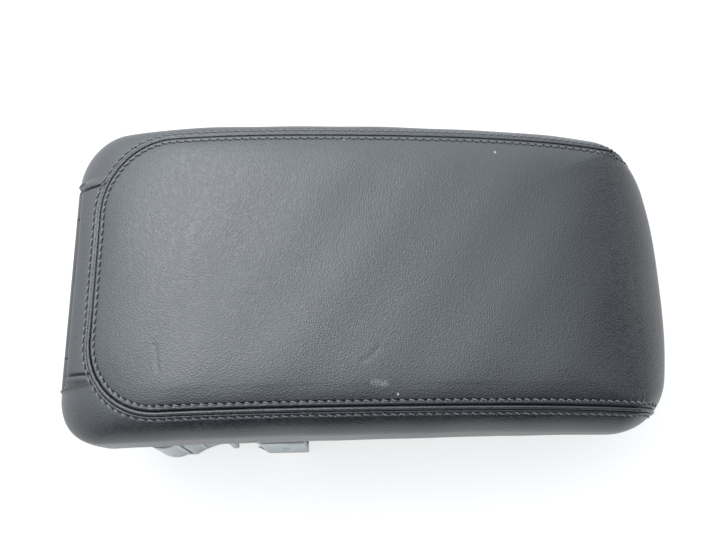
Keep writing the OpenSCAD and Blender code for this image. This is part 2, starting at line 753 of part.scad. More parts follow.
module base_frame() {
    color([0.72, 0.73, 0.72])
    difference() {
        union() {
            base_floor();
            linear_extrude(base_h) wall_plan();
            for (side = [-1, 1]) {
                plate_xz(min(side * lug_y0, side * lug_y1), max(side * lug_y0, side * lug_y1)) lug_profile();
                // Ribs that stiffen the walls and the tongue
                for (x = [scoop_x0 + 4, scoop_x1 - 6, post_x - 8])
                    translate([x, 0, floor_t - eps]) rib(side);
                translate([base_x1 - 34, side * (tongue_w / 2 - 1.5) - 1.5, 0])
                    cube([tongue_x1 - base_x1 + 22, 3, floor_t + 5]);
                translate([post_x - 6, side * (base_w / 2 - wall_t - 4) - 4, 0]) cube([12, 8, base_h]);
                for (x = [bolt_x0, bolt_x1]) translate([x, side * bolt_dy / 2, 0]) cylinder(r = 8, h = floor_t + 3);
            }
            // Web between the lugs
            plate_xz(-lug_y0, lug_y0)
            polygon([[base_x0 + 1, 0], [base_x0 + 6, 0], [hinge_x + 9, base_h - 6], [hinge_x + 4, base_h - 6]]);
        }
        for (x = [bolt_x0, bolt_x1]) for (side = [-1, 1])
            translate([x, side * bolt_dy / 2, -1]) cylinder(r = bolt_r, h = floor_t + 5);
        translate([hinge_x, -lug_y1 - 1, hinge_z]) rotate([-90, 0, 0])
            cylinder(d = pin_d + 2 * seat_gap, h = 2 * lug_y1 + 2);
        for (side = [-1, 1]) {
            // Holes for the springs' fixed legs
            translate([hinge_x - spring_d / 2, side * (lug_y1 - 2.4) - 2.6, hinge_z]) rotate([-90, 0, 0])
                cylinder(d = spring_wire + 0.3, h = 5.2);
            window_cut(side);
            // A small hole and a slot mark in the front post
            translate([post_x, side * base_w / 2 - 20, base_h / 2 + 1]) rotate([-90, 0, 0]) cylinder(r = 2, h = 40);
            translate([post_x + 2, side * base_w / 2 - 1, base_h - 5]) cube([8, 2, 1.6]);
        }
    }
}

// A triangular rib from the floor up the inside of a side wall
module rib(side) {
    mirror([0, side > 0 ? 0 : 1, 0])
    translate([0, base_w / 2 - wall_t - 15, 0])
    rotate([90, 0, 90]) linear_extrude(3) polygon([[0, 0], [16, 0], [16, base_h - floor_t - 8]]);
}

// The window in a side wall, with a slanted front edge and a thin rib across it
module window_cut(side) {
    y0 = side * base_w / 2 - 12;
    difference() {
        plate_xz(y0, y0 + 24)
            polygon([[scoop_x1, 2.4], [window_x1, 2.4], [window_x1 - 1, 12], [window_x1 - 6, base_h - 4],
                [scoop_x1, base_h - 2]]);
        translate([scoop_x1 + 4, y0 - 1, 0]) cube([1, 26, base_h]);
    }
}

// Rubber bumpers that the closed lid rests on
module base_bumpers() {
    color([0.06, 0.06, 0.06])
    for (side = [-1, 1]) {
        translate([post_x, side * (base_w / 2 - wall_t - 3), base_h]) cylinder(r1 = 4.5, r2 = 4, h = lid_gap - 0.3);
        translate([base_x0 + post_r * 2 - 2.1, side * (base_w / 2 + post_out - post_r), base_h])
            cylinder(r1 = 1.7, r2 = 1.5, h = lid_gap - 0.3);
    }
}

// The latch: a housing on the lower shell, with a lever on a pin between its cheeks
cheek_w = 3;
housing_h = latch_rise - shell_t + 8;
latch_screw_x = [latch_x - 4, latch_x + 10];
latch_screw_y = lever_w / 2 + cheek_w + 5;

module latch_housing() {
    x0 = latch_x - 9;
    z0 = lid_z + shell_t + layer_gap / 2;
    color([0.1, 0.1, 0.1])
    difference() {
        union() {
            for (side = [-1, 1]) {
                translate([x0, side * (lever_w + cheek_w) / 2 - cheek_w / 2, z0]) cube([24, cheek_w, housing_h]);
                translate([x0, side * (lever_w / 2 + cheek_w + 4.5) - 4.5 - eps, z0]) cube([24, 9 + 2 * eps, 2]);
            }
            translate([x0, -lever_w / 2 - cheek_w, z0 + housing_h - 2]) cube([24, lever_w + 2 * cheek_w, 2]);
        }
        translate([latch_x, -lever_w, latch_z]) rotate([-90, 0, 0])
            cylinder(d = latch_pin_d + 2 * seat_gap, h = 2 * lever_w);
        for (x = latch_screw_x) for (side = [-1, 1]) translate([x, side * latch_screw_y, z0 - 1])
            cylinder(r = 1.6, h = 5);
    }
}

module latch_screws() {
    color([0.5, 0.5, 0.52])
    for (x = latch_screw_x) for (side = [-1, 1])
        translate([x, side * latch_screw_y, lid_z + shell_t + 2.1]) mirror([0, 0, 1])
        translate([0, 0, 0]) screw(1.5, 2.8, 1.6, shell_t + 1.6);
}

module latch_pin() {
    half = lever_w / 2 + cheek_w;
    color([0.7, 0.7, 0.72])
    translate([latch_x, -half, latch_z]) rotate([-90, 0, 0]) cylinder(d = latch_pin_d, h = 2 * half);
}

// One moulded lever: a boss on the pin, a neck down to the paddle, and the hook behind it
module latch_lever() {
    paddle_z = lid_z - 10;
    tip_z = latch_z - hook_len;
    color([0.08, 0.08, 0.08])
    difference() {
        union() {
            plate_xz(-lever_w / 2 + 0.3, lever_w / 2 - 0.3)
            union() {
                translate([latch_x, latch_z]) circle(latch_pin_d / 2 + 2.4);
                translate([latch_x + 0.5, paddle_z]) square([3, latch_z - paddle_z]);
            }
            // The paddle, with a turned-down lip at its front
            translate([0, 0, paddle_z - paddle_t])
                rounded_box(latch_x - 1, latch_x + 32, paddle_w, 5, paddle_t);
            plate_xz(-paddle_w / 2 + 5, paddle_w / 2 - 5)
            polygon([[latch_x + 29, paddle_z], [latch_x + 32, paddle_z], [latch_x + 32, paddle_z - paddle_t - 2],
                [latch_x + 30.5, paddle_z - paddle_t - 2]]);
            // The hook
            plate_xz(-7, 7)
            polygon([[latch_x - 4, latch_z], [latch_x + 1, latch_z], [latch_x + 1, tip_z + 2],
                [latch_x - 1, tip_z], [latch_x - 9, tip_z + 3], [latch_x - 9, tip_z + 5.5], [latch_x - 4, tip_z + 6]]);
            for (y = [-14, -7, 7, 14]) plate_xz(y - 1, y + 1)
                polygon([[latch_x + 3, paddle_z], [latch_x + 24, paddle_z], [latch_x + 3, paddle_z + 5]]);
        }
        translate([latch_x, -lever_w, latch_z]) rotate([-90, 0, 0])
            cylinder(d = latch_pin_d + 2 * run_gap, h = 2 * lever_w);
        // Room for the return spring
        translate([latch_x - 8, 9, latch_z - 8]) cube([16, 5, 16.5]);
    }
}

// Return spring: coils round the pin in the lever's slot, with a leg up to the housing's roof
module latch_spring() {
    r = latch_pin_d / 2 + 0.9;
    turns = 4;
    y0 = 9.7;
    coil = [for (i = [0 : 10 * turns]) let (a = 90 + 36 * i)
        [latch_x + r * cos(a), y0 + 0.85 * i / 10, latch_z + r * sin(a)]];
    end = coil[len(coil) - 1];
    roof = lid_z + shell_t + layer_gap / 2 + housing_h - 2;
    color([0.55, 0.55, 0.57])
    cord(concat([[coil[0].x + 6, y0, roof - 0.7], [coil[0].x + 2, y0, coil[0].z]], coil, [end + [-2, 0, 0]]), 0.35, 6);
}

base_frame();
hinge_pin();
hinge_cover();
retaining_rings();
lid_springs();
base_bumpers();
hinge_arm_left();
hinge_arm_right();
hinge_bushes();
hinge_cap_left();
hinge_cap_right();
arm_screws();
lower_shell();
shell_screws();
upper_shell();
foam_pad();
top_panel();
side_panel_left();
side_panel_right();
rear_panel();
seam_welt();
latch_housing();
latch_screws();
latch_pin();
latch_lever();
latch_spring();
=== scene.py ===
"""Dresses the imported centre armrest: leather covers, welt, stitches and the finish of every part."""

import math

import bpy
import numpy as np
from bpy.props import FloatProperty, FloatVectorProperty, PointerProperty
from mathutils import Matrix, Vector


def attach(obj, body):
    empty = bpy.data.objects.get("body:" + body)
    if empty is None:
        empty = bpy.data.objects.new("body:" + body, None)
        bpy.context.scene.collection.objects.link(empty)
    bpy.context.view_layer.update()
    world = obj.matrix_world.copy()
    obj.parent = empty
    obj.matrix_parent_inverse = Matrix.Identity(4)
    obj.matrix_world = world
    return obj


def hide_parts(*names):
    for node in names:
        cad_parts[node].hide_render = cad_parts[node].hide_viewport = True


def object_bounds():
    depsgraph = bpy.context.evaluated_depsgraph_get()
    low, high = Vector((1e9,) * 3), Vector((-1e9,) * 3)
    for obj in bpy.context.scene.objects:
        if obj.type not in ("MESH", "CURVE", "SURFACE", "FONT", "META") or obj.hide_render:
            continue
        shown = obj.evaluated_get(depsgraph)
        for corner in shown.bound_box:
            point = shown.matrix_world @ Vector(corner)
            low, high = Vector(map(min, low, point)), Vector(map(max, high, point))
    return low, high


bl_info = {
    "name": "Centre Armrest",
    "version": (1, 0, 0),
    "blender": (4, 5, 0),
    "location": "View3D > Sidebar > Armrest",
    "description": "Builds the leather lid of a car centre armrest on its cast hinge base",
    "category": "Add Mesh",
}

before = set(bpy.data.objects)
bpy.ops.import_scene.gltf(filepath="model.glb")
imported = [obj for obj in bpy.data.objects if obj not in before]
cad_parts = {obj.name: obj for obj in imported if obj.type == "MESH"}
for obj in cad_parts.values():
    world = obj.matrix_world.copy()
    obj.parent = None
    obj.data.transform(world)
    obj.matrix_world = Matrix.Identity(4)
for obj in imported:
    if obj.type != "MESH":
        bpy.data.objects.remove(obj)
CAD_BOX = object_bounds()
MM = 0.001


class ARMREST_PG_lid(bpy.types.PropertyGroup):
    """Outline and heights of the lid's leather skin."""

    overall_len: FloatProperty(
        name="Overall length",
        description="From the hinge barrel to the nose",
        default=CAD_BOX[1].x - CAD_BOX[0].x,
        unit="LENGTH",
    )
    width_rear: FloatProperty(
        name="Rear width", description="At the widest contour", default=0.174, unit="LENGTH"
    )
    width_front: FloatProperty(
        name="Front width", description="Behind the nose corners", default=0.1668, unit="LENGTH"
    )
    rear_corner: FloatProperty(
        name="Rear corner", description="Radius at the widest contour", default=0.0268, unit="LENGTH"
    )
    nose_corner: FloatProperty(
        name="Nose corner", description="Radius at the widest contour", default=0.0355, unit="LENGTH"
    )
    nose_bow: FloatProperty(
        name="Nose bow", description="How far the nose bows forward", default=0.0048, unit="LENGTH"
    )
    barrel_r: FloatProperty(
        name="Barrel radius", description="Of the hinge covers", default=0.013, unit="LENGTH"
    )
    ear_reach: FloatProperty(
        name="Ear reach", description="Behind the hinge axis", default=0.0116, unit="LENGTH"
    )
    rear_reach: FloatProperty(
        name="Rear panel reach", description="Behind the hinge axis", default=0.0055, unit="LENGTH"
    )
    split_y: FloatProperty(
        name="Butt seams", description="Distance of each from the middle", default=0.059, unit="LENGTH"
    )
    seam_w: FloatProperty(
        name="Rear seam width", description="Between the long seams, rear", default=0.1509, unit="LENGTH"
    )
    seam_w_front: FloatProperty(
        name="Front seam width", description="Between the long seams, front", default=0.1473, unit="LENGTH"
    )
    seam_rear: FloatProperty(
        name="Rear seam inset", description="From the ears' rear", default=0.0188, unit="LENGTH"
    )
    seam_nose: FloatProperty(
        name="Nose edge inset", description="Where the top rolls over", default=0.0208, unit="LENGTH"
    )
    seam_corner: FloatProperty(
        name="Seam corner", description="Radius at the rear", default=0.0401, unit="LENGTH"
    )
    nose_edge: FloatProperty(
        name="Nose edge corner", description="Radius of the roll's corners", default=0.003, unit="LENGTH"
    )
    seam_z: FloatProperty(
        name="Seam height", description="Over the floor, at the middle", default=0.092, unit="LENGTH"
    )
    seam_tilt: FloatProperty(
        name="Seam tilt", description="Fall from the middle to the nose", default=0.0095, unit="LENGTH"
    )
    seam_camber: FloatProperty(
        name="Seam camber", description="Fall from the middle to either end", default=0.0108, unit="LENGTH"
    )
    seam_end: FloatProperty(
        name="Seam end fall", description="Further fall close to either end", default=0.0173, unit="LENGTH"
    )
    crown: FloatProperty(
        name="Crown", description="Height of the top over the seam", default=0.0047, unit="LENGTH"
    )
    side_drop: FloatProperty(
        name="Side drop", description="Seam to widest contour, sides", default=0.0161, unit="LENGTH"
    )
    nose_drop: FloatProperty(
        name="Nose drop", description="Seam level to widest contour, nose", default=0.0118, unit="LENGTH"
    )
    rear_drop: FloatProperty(
        name="Rear drop", description="Seam to the rear panel's outer line", default=0.0045, unit="LENGTH"
    )
    undercut: FloatProperty(
        name="Undercut", description="How far the side draws in below", default=0.004, unit="LENGTH"
    )
    lid_z: FloatProperty(
        name="Lid bottom", description="Height of the bottom edge", default=0.04, unit="LENGTH"
    )
    rear_z: FloatProperty(
        name="Rear panel bottom", description="Height of its edge", default=0.0697, unit="LENGTH"
    )
    hem: FloatProperty(
        name="Hem", description="Width of the leather turned under", default=0.0036, unit="LENGTH"
    )


class ARMREST_PG_seam(bpy.types.PropertyGroup):
    """Sizes of the twin-stitched seam."""

    row_inner: FloatProperty(
        name="Inner row", description="Top panel's stitches from the welt", default=0.0038, unit="LENGTH"
    )
    row_outer: FloatProperty(
        name="Outer row", description="Side panels' stitches from the welt", default=0.0033, unit="LENGTH"
    )
    pitch: FloatProperty(
        name="Stitch pitch", description="From stitch to stitch", default=0.00445, unit="LENGTH"
    )
    stitch_len: FloatProperty(
        name="Stitch length", description="Thread between two holes", default=0.0034, unit="LENGTH"
    )
    thread_r: FloatProperty(
        name="Thread radius", description="Of one stitch", default=0.00045, unit="LENGTH"
    )
    slant: FloatProperty(
        name="Slant", description="Sideways shift of each stitch", default=0.0011, unit="LENGTH"
    )
    welt_r: FloatProperty(
        name="Welt radius", description="Of the cord in the seam", default=0.00095, unit="LENGTH"
    )
    groove: FloatProperty(
        name="Groove depth", description="Of the channel for the welt", default=0.00125, unit="LENGTH"
    )
    pillow: FloatProperty(
        name="Hollow", description="How far the seam pulls the padding in", default=0.0004, unit="LENGTH"
    )


class ARMREST_PG_finish(bpy.types.PropertyGroup):
    """Colours of the finishes and the size of the grain."""

    leather: FloatVectorProperty(
        name="Leather", description="Dyed leather", subtype="COLOR", default=(0.015, 0.0155, 0.019)
    )
    thread: FloatVectorProperty(
        name="Thread", description="Stitching", subtype="COLOR", default=(0.11, 0.11, 0.12)
    )
    casting: FloatVectorProperty(
        name="Casting", description="Cast base", subtype="COLOR", default=(0.62, 0.64, 0.64)
    )
    foam: FloatVectorProperty(
        name="Foam", description="Padding", subtype="COLOR", default=(0.25, 0.24, 0.20)
    )
    grain: FloatProperty(
        name="Grain", description="Size of one pebble", default=0.0013, unit="LENGTH"
    )


def smooth(x, lo, hi):
    """Smooth step from 0 at lo to 1 at hi: three squares less two cubes of the share between them."""
    u = np.clip((x - lo) / (hi - lo), 0, 1)
    return u * u * (3 - 2 * u)


def nose_arc(bow, half, r):
    """Start angle of a nose corner's arc, where it leaves the bowed nose without a kink."""
    return math.atan(2 * bow / (half - 0.75 * r))


# Columns of the grid: where on its stretch of the rim each seam starts, as a share of that stretch.
NOSE_STEPS = 22
SEAM_SHARE = 3 / 7
BUTT_SHARE = 0.048
# How far behind the nose's arc the seam's rim takes up its side, and the width of each ear's step.
SEAM_BACK = 0.008
EAR_GAP = 0.0035
# Distance of a butt seam's lower end from the middle.
BUTT_FOOT = 0.0517
# Rows of the grid: the set-in rings reach this far in, and stand close within the band.
INSET = 0.012
BAND = 0.006
RINGS, FAR_ROWS, BAND_ROWS, ROLL_ROWS, WALL_ROWS = 34, 8, 24, 14, 11
HEM_R = 0.0013
STEEPEST = 0.6
# Profile across the seam: the welt's channel, the fold beside it, the stitch dips and the padding.
CHANNEL = (0.00095, 0.00175)
FOLD, FOLD_AT, FOLD_W = 0.0002, 0.0025, 0.0008
DIP, DIP_W = 0.0003, 0.0005
HOLLOW_REACH = 0.0045
BUTT_DEPTH, BUTT_W = 0.0011, 0.0006
DEEPEST = -0.00138
# The near side's channel is deeper than the far side's; it deepens between these distances.
NEAR_SIDE = (0.01, 0.06)
FAR_CHANNEL = 0.35
# Depth of the welt's middle under the skin at the far and the near side, and where it begins.
WELT_FAR, WELT_NEAR, WELT_START = 0.0008, 0.00035, 0.012
STITCH_START = 0.014


def stations():
    """Where the columns stand on half the rim, from the nose to the rear, as (stretch, share) pairs.

    They stand close together round the seam's line down the nose corner and round the butt seam."""
    lo, hi = SEAM_SHARE - 0.22, SEAM_SHARE + 0.22
    nose = np.linspace(0, 1, NOSE_STEPS + 1)[:-1]
    corner = np.concatenate(
        [np.linspace(0, lo, 6)[:-1], np.linspace(lo, hi, 45)[:-1], np.linspace(hi, 1, 9)]
    )
    side = np.linspace(0, 1, 120)[1:-1]
    ear = np.linspace(0, 1, 44)
    wall = np.array([0.08, 0.2, 0.4, 0.6, 0.75, 0.86, 0.94])
    gaps = np.array([0.0025, 0.005, 0.009, 0.014, 0.02, 0.03, 0.048])
    rear = np.concatenate(
        [BUTT_SHARE - gaps[::-1], [BUTT_SHARE], BUTT_SHARE + gaps, np.linspace(0.13, 1, 22)]
    )
    parts = [(0, nose), (1, corner), (2, side), (3, ear), (4, wall), (5, rear)]
    stretch = np.concatenate([np.full(len(s), k) for k, s in parts])
    return stretch, np.concatenate([s for _, s in parts])


def half_rim(stretch, share, nose, rear, split, side_end, back=0.0, panel_x=None):
    """Half a rim in plan: a bowed nose (x falls with the square of y), an arc, a side that widens
    evenly to the rear, an arc to the butt seam, and the rear, at panel_x or on the same arc and line.
    With back set, the nose's arc ends at the seam's column and the side takes up the rest. The nose is
    given as (x, bow, half width, corner) and the rear as (x, half width, corner)."""
    (nose_x, bow, half_f, r_f), (rear_x, half_r, r_r) = nose, rear
    a0 = nose_arc(bow, half_f, r_f)
    y0 = half_f - r_f + r_f * math.sin(a0)
    xf = nose_x - bow - r_f * math.cos(a0)
    xr, yr = rear_x + r_r, half_r - r_r
    grow = (half_r - half_f) / (xf - xr)
    end = math.asin(max(0.0, (split - yr) / r_r))
    x, y = np.zeros(len(share)), np.zeros(len(share))

    def put(k, fx, fy):
        m = stretch == k
        x[m], y[m] = fx(share[m]), fy(share[m])

    put(0, lambda u: nose_x - bow * u**2, lambda u: y0 * u)
    turn = SEAM_SHARE if back else 1
    arc = lambda u: a0 + (math.pi / 2 - a0) * np.minimum(u / turn, 1)
    run = lambda u: back * np.maximum(0, u - turn) / max(1e-6, 1 - turn)
    put(
        1,
        lambda u: xf + r_f * np.cos(arc(u)) - run(u),
        lambda u: half_f - r_f + r_f * np.sin(arc(u)) + run(u) * grow,
    )
    side_x = lambda u: xf - back + (side_end - xf + back) * u
    put(2, side_x, lambda u: half_f + (xf - side_x(u)) * grow)
    bend = r_r * (math.pi / 2 - end)
    gone = lambda u: (side_end - xr + bend + max(0.0, yr - split)) * u - (side_end - xr)
    angle = lambda s: math.pi / 2 + np.clip(s, 0, bend) / r_r
    on_ear_x = lambda s: np.where(s < 0, xr - s, xr + r_r * np.cos(angle(s)))
    past = lambda s: yr + r_r * np.sin(angle(s)) - np.maximum(0, s - bend)
    on_ear_y = lambda s: np.where(s < 0, half_r + s * grow, past(s))
    put(3, lambda u: on_ear_x(gone(u)), lambda u: on_ear_y(gone(u)))
    ear_x = xr - r_r * math.cos(end)
    start = split - EAR_GAP

    def on_arc(yy):
        lift = np.clip(yy - yr, 0, r_r)
        return xr - np.sqrt(r_r**2 - lift**2)

    first = on_arc(np.array([start]))[0] if panel_x is None else panel_x
    put(4, lambda u: ear_x + (first - ear_x) * smooth(u, 0, 1), lambda u: split - EAR_GAP * u)
    if panel_x is None:
        put(5, lambda u: on_arc(start * (1 - u)), lambda u: start * (1 - u))
    else:
        foot = lambda u: np.interp(u, [0, BUTT_SHARE, 1], [start, BUTT_FOOT, 0])
        put(5, lambda u: u * 0 + panel_x, foot)
    return np.stack([x, y], 1)


def mirror_half(values, sign=1):
    """The far half's values, then the same from the rear back to the nose, without the two middles."""
    back = values[-2:0:-1].copy()
    if sign < 0:
        back[:, 1] *= -1
    return np.concatenate([values, back])


class Skin:
    """The lid's whole outer skin as one grid: rows from the crown's middle out to the hem, and columns
    round the rim. Pieces are cut from it, so their edges meet."""

    def __init__(self, lid, seam):
        self.lid, self.seam_sizes = lid, seam
        nose_x, floor_x = lid.overall_len / 2, -lid.overall_len / 2
        hinge_x = floor_x + lid.barrel_r
        ear_x, panel_x = hinge_x - lid.ear_reach, hinge_x - lid.rear_reach
        self.nose_x = nose_x
        stretch, share = stations()
        self.half = len(share) - 1
        self.n = 2 * self.half
        side_end = ear_x + lid.seam_rear + lid.seam_corner
        half_f, half_r = lid.seam_w_front / 2, lid.seam_w / 2
        t_x, t_bow = nose_x - lid.seam_nose, lid.nose_bow * lid.seam_w_front / lid.width_front / 2
        rear_x, corner = ear_x + lid.seam_rear, lid.seam_corner
        rims = (
            ((t_x, t_bow, half_f, lid.nose_edge), (rear_x, half_r, corner), lid.split_y),
            (
                (t_x - INSET, t_bow, half_f - INSET, lid.nose_edge),
                (rear_x + INSET, half_r - INSET, corner - INSET),
                lid.split_y * 0.8,
            ),
        )
        self.t_rim, self.in_rim = (
            mirror_half(half_rim(stretch, share, *rim, side_end, SEAM_BACK), -1) for rim in rims
        )
        nose = (nose_x, lid.nose_bow, lid.width_front / 2, lid.nose_corner)
        wide = (ear_x, lid.width_rear / 2, lid.rear_corner)
        wide_rim = half_rim(stretch, share, nose, wide, lid.split_y, side_end, 0.0, panel_x)
        self.w_rim = mirror_half(wide_rim, -1)
        wall = np.where(stretch == 4, share, (stretch == 5) * 1.0)
        corner = np.clip(np.where(stretch == 1, share, stretch > 1), 0, 1)
        drop = lid.nose_drop + (lid.side_drop - lid.nose_drop) * corner
        self.drop = mirror_half(drop + (lid.rear_drop - drop) * wall)
        self.low = mirror_half(lid.lid_z + (lid.rear_z - lid.lid_z) * smooth(wall, 0, 0.2))
        fall = 8 * lid.crown / (nose_x - lid.seam_nose)
        steep = 8 * lid.crown / (lid.seam_w / 2)
        self.fall = mirror_half(fall + (steep - fall) * smooth(corner, SEAM_SHARE, 1))
        seam_at = np.flatnonzero((stretch == 1) & (np.abs(share - SEAM_SHARE) < 1e-6))[0]
        butt_at = np.flatnonzero((stretch == 5) & (np.abs(share - BUTT_SHARE) < 1e-6))[0]
        self.i_seam, self.i_panel = int(seam_at), int(butt_at)
        self.build()

    def seam_height(self, x):
        """Height of the seam: it falls with x (tilt), with x squared (camber) and with x to the 4th."""
        u = x / self.nose_x
        lid = self.lid
        return lid.seam_z - lid.seam_tilt * u - lid.seam_camber * u**2 - lid.seam_end * u**4

    def crown_height(self, p):
        """The crown: full in the middle, and less by the 8th power of the way out to the seam's rim."""
        turn = np.arctan2(self.t_rim[:, 1], self.t_rim[:, 0])
        order = np.argsort(turn)
        reach = np.linalg.norm(self.t_rim, axis=1)[order]
        rim = np.interp(np.arctan2(p[..., 1], p[..., 0]), turn[order], reach, period=2 * math.pi)
        return self.lid.crown * (1 - np.clip(np.linalg.norm(p, axis=-1) / rim, 0, 1) ** 8)

    def build(self):
        """Stacks the rows: scaled rings, rings set in from the seam, the roll, the wall and the hem.

        The roll is a piece of an ellipse's quarter, begun at the angle where it falls as the top does."""
        t, w, inn = self.t_rim, self.w_rim, self.in_rim
        rows = []

        def top(p):
            rows.append(np.column_stack([p, self.seam_height(p[:, 0]) + self.crown_height(p)]))

        for k in np.linspace(0.02, 0.98, RINGS):
            top(inn * k)
        far = np.linspace(INSET, BAND, FAR_ROWS)
        near = np.linspace(BAND, 0, BAND_ROWS + 1)[1:]
        for e in np.concatenate([far, near]):
            top(t + (inn - t) * e / INSET)
        self.r_seam = len(rows) - 1
        reach = np.linalg.norm(w - t, axis=1)
        q = self.fall * reach / self.drop
        s0 = np.where(q < STEEPEST / (1 + STEEPEST), q / (1 - np.minimum(q, 0.9)), STEEPEST)
        c0 = np.sqrt(1 - s0**2)

        def roll(a):
            out, down = (np.sin(a) - s0) / (1 - s0), (c0 - np.cos(a)) / c0
            p = t + (w - t) * out[:, None]
            rows.append(np.column_stack([p, self.seam_height(p[:, 0]) - self.drop * down]))

        for r in np.linspace(0, BAND, BAND_ROWS + 1)[1:]:
            a = np.arcsin(np.minimum(s0 + (1 - s0) * r / reach, 0.97))
            roll(a)
        for u in np.linspace(0, 1, ROLL_ROWS + 1)[1:]:
            roll(a + (math.pi / 2 - a) * u)
        self.r_wide = len(rows) - 1
        level = self.seam_height(w[:, 0]) - self.drop
        inward = (t - w) / reach[:, None]
        r = HEM_R

        def wall(z, extra):
            q = (level - z) / (level - self.low)
            p = w + inward * (self.lid.undercut * q**3 + extra)[:, None]
            rows.append(np.column_stack([p, z]))

        for u in np.linspace(0, 1, WALL_ROWS + 1)[1:]:
            wall(level + (self.low + r - level) * u, np.zeros(self.n))
        for a in np.radians([22, 45, 68, 90]):
            wall(self.low + r * (1 - math.sin(a)), np.full(self.n, r * (1 - math.cos(a))))
        for h in np.linspace(r, self.lid.hem, 4)[1:]:
            wall(self.low.copy(), np.full(self.n, h))
        rows.append(rows[-1] + np.array([0, 0, HEM_R]))
        self.p = np.array(rows)
        self.normals()
        self.seam_distance()
        self.flat, self.flat_nrm = self.p, self.nrm
        self.shape_seam()

    def normals(self):
        """Unit normals from the cross product of the grid's two directions, outwards."""
        du = np.roll(self.p, -1, 1) - np.roll(self.p, 1, 1)
        dv = np.gradient(self.p, axis=0)
        n = np.cross(dv, du)
        n /= np.maximum(np.linalg.norm(n, axis=2, keepdims=True), 1e-12)
        self.nrm = n

    def seam_distance(self):
        """Signed distance from the seam's line, minus on the top panel, and the length along it."""
        r0, i0 = self.r_seam, self.i_seam
        far, near_side = slice(-1, r0, -1), slice(r0 + 1, None)

        def join(grid):
            back = self.n - i0
            return np.concatenate([grid[far, i0], grid[r0, i0 : back + 1], grid[near_side, back]])

        path, path_n = join(self.p), join(self.nrm)
        step = np.linalg.norm(np.diff(path, axis=0), axis=1)
        keep = np.concatenate([[True], step > 1e-6])
        self.path, self.path_n = path[keep], path_n[keep]
        step = np.linalg.norm(np.diff(self.path, axis=0), axis=1)
        self.path_s = np.concatenate([[0], np.cumsum(step)])
        flat = self.p.reshape(-1, 3)
        dist = np.full(len(flat), 0.05)
        along = np.zeros(len(flat))
        col = np.arange(self.n)
        nose = np.minimum(col, self.n - col) < i0 + 60
        near = np.zeros(self.p.shape[:2], bool)
        near[r0 - 30 : r0 + 32, :] = True
        near[r0:, nose] = True
        idx = np.flatnonzero(near.ravel())
        a, b = self.path[:-1], self.path[1:]
        ab = b - a
        ab2 = (ab**2).sum(1)
        mid = (a + b) / 2
        for chunk in np.array_split(idx, max(1, len(idx) // 1500)):
            q = flat[chunk]
            k = ((q[:, None, :] - mid[None]) ** 2).sum(2).argmin(1)
            best = np.full(len(q), 9.0)
            for shift in (-1, 0, 1):
                kk = np.clip(k + shift, 0, len(ab) - 1)
                u = np.clip(((q - a[kk]) * ab[kk]).sum(1) / ab2[kk], 0, 1)
                d = np.linalg.norm(q - (a[kk] + ab[kk] * u[:, None]), axis=1)
                better = d < best
                best = np.where(better, d, best)
                reached = self.path_s[kk] + u * np.sqrt(ab2[kk])
                along[chunk] = np.where(better, reached, along[chunk])
            dist[chunk] = best
        dist = dist.reshape(self.p.shape[:2])
        inside = np.zeros(self.p.shape[:2], bool)
        inside[:r0] = True
        inside[:, np.minimum(col, self.n - col) < i0] = True
        self.d = np.where(inside, -dist, dist)
        self.s = along.reshape(dist.shape)

    def shape_seam(self):
        """Moves the skin along its normals: a channel for the welt, a soft fold on each side of it,
        a dip along each stitch row, and the hollow that fades out into the padding beyond."""
        z, a = self.seam_sizes, np.abs(self.d)
        row = np.where(self.d < 0, z.row_inner, z.row_outer)
        bell = lambda centre, width: np.exp(-(((a - centre) / width) ** 2))
        h = -z.pillow * np.exp(-np.maximum(a - row, 0) / HOLLOW_REACH)
        near = smooth(-self.p[..., 1], *NEAR_SIDE)
        h -= z.groove * (FAR_CHANNEL + (1 - FAR_CHANNEL) * near) * (1 - smooth(a, *CHANNEL))
        h += FOLD * bell(FOLD_AT, FOLD_W) - DIP * bell(row, DIP_W)
        col = np.arange(self.n)
        half_col = np.minimum(col, self.n - col)
        butt = self.p[self.r_seam :, self.i_panel][:, None, :]
        other = self.p[self.r_seam :, self.n - self.i_panel][:, None, :]
        outer = self.p[self.r_seam :]
        b = np.minimum(np.linalg.norm(outer - butt, axis=2), np.linalg.norm(outer - other, axis=2))
        b[:, half_col < self.i_panel - 16] = 1
        clear = 1 - bell(0, 0.002)[self.r_seam :]
        h[self.r_seam :] -= BUTT_DEPTH * np.exp(-((b / BUTT_W) ** 2)) * clear
        x, y = self.p[..., 0], self.p[..., 1]
        soft = 0.00016 * np.sin(x * 61 + 1.3) * np.cos(y * 74 + 0.4)
        soft += 0.00012 * np.sin(x * 133 - y * 97 + 2.1)
        h += soft * np.clip((a - row) / 0.01, 0, 1)
        h = np.maximum(h, DEEPEST)
        fade = np.ones(len(self.p))
        fade[self.r_wide + 8 :] = 0
        self.p = self.p + self.nrm * (h * fade[:, None])[..., None]
        self.normals()

    def cut(self, rows, cols):
        """Points, quads and seam coordinates of one block of the grid."""
        grid = np.ix_(rows, cols)
        r, c = len(rows), len(cols)
        k = np.arange(r * c).reshape(r, c)
        quads = np.stack([k[:-1, :-1], k[1:, :-1], k[1:, 1:], k[:-1, 1:]], 2).reshape(-1, 4)
        uv = np.stack([self.s[grid], self.d[grid]], 2).reshape(-1, 2)
        return self.p[grid].reshape(-1, 3), quads, uv

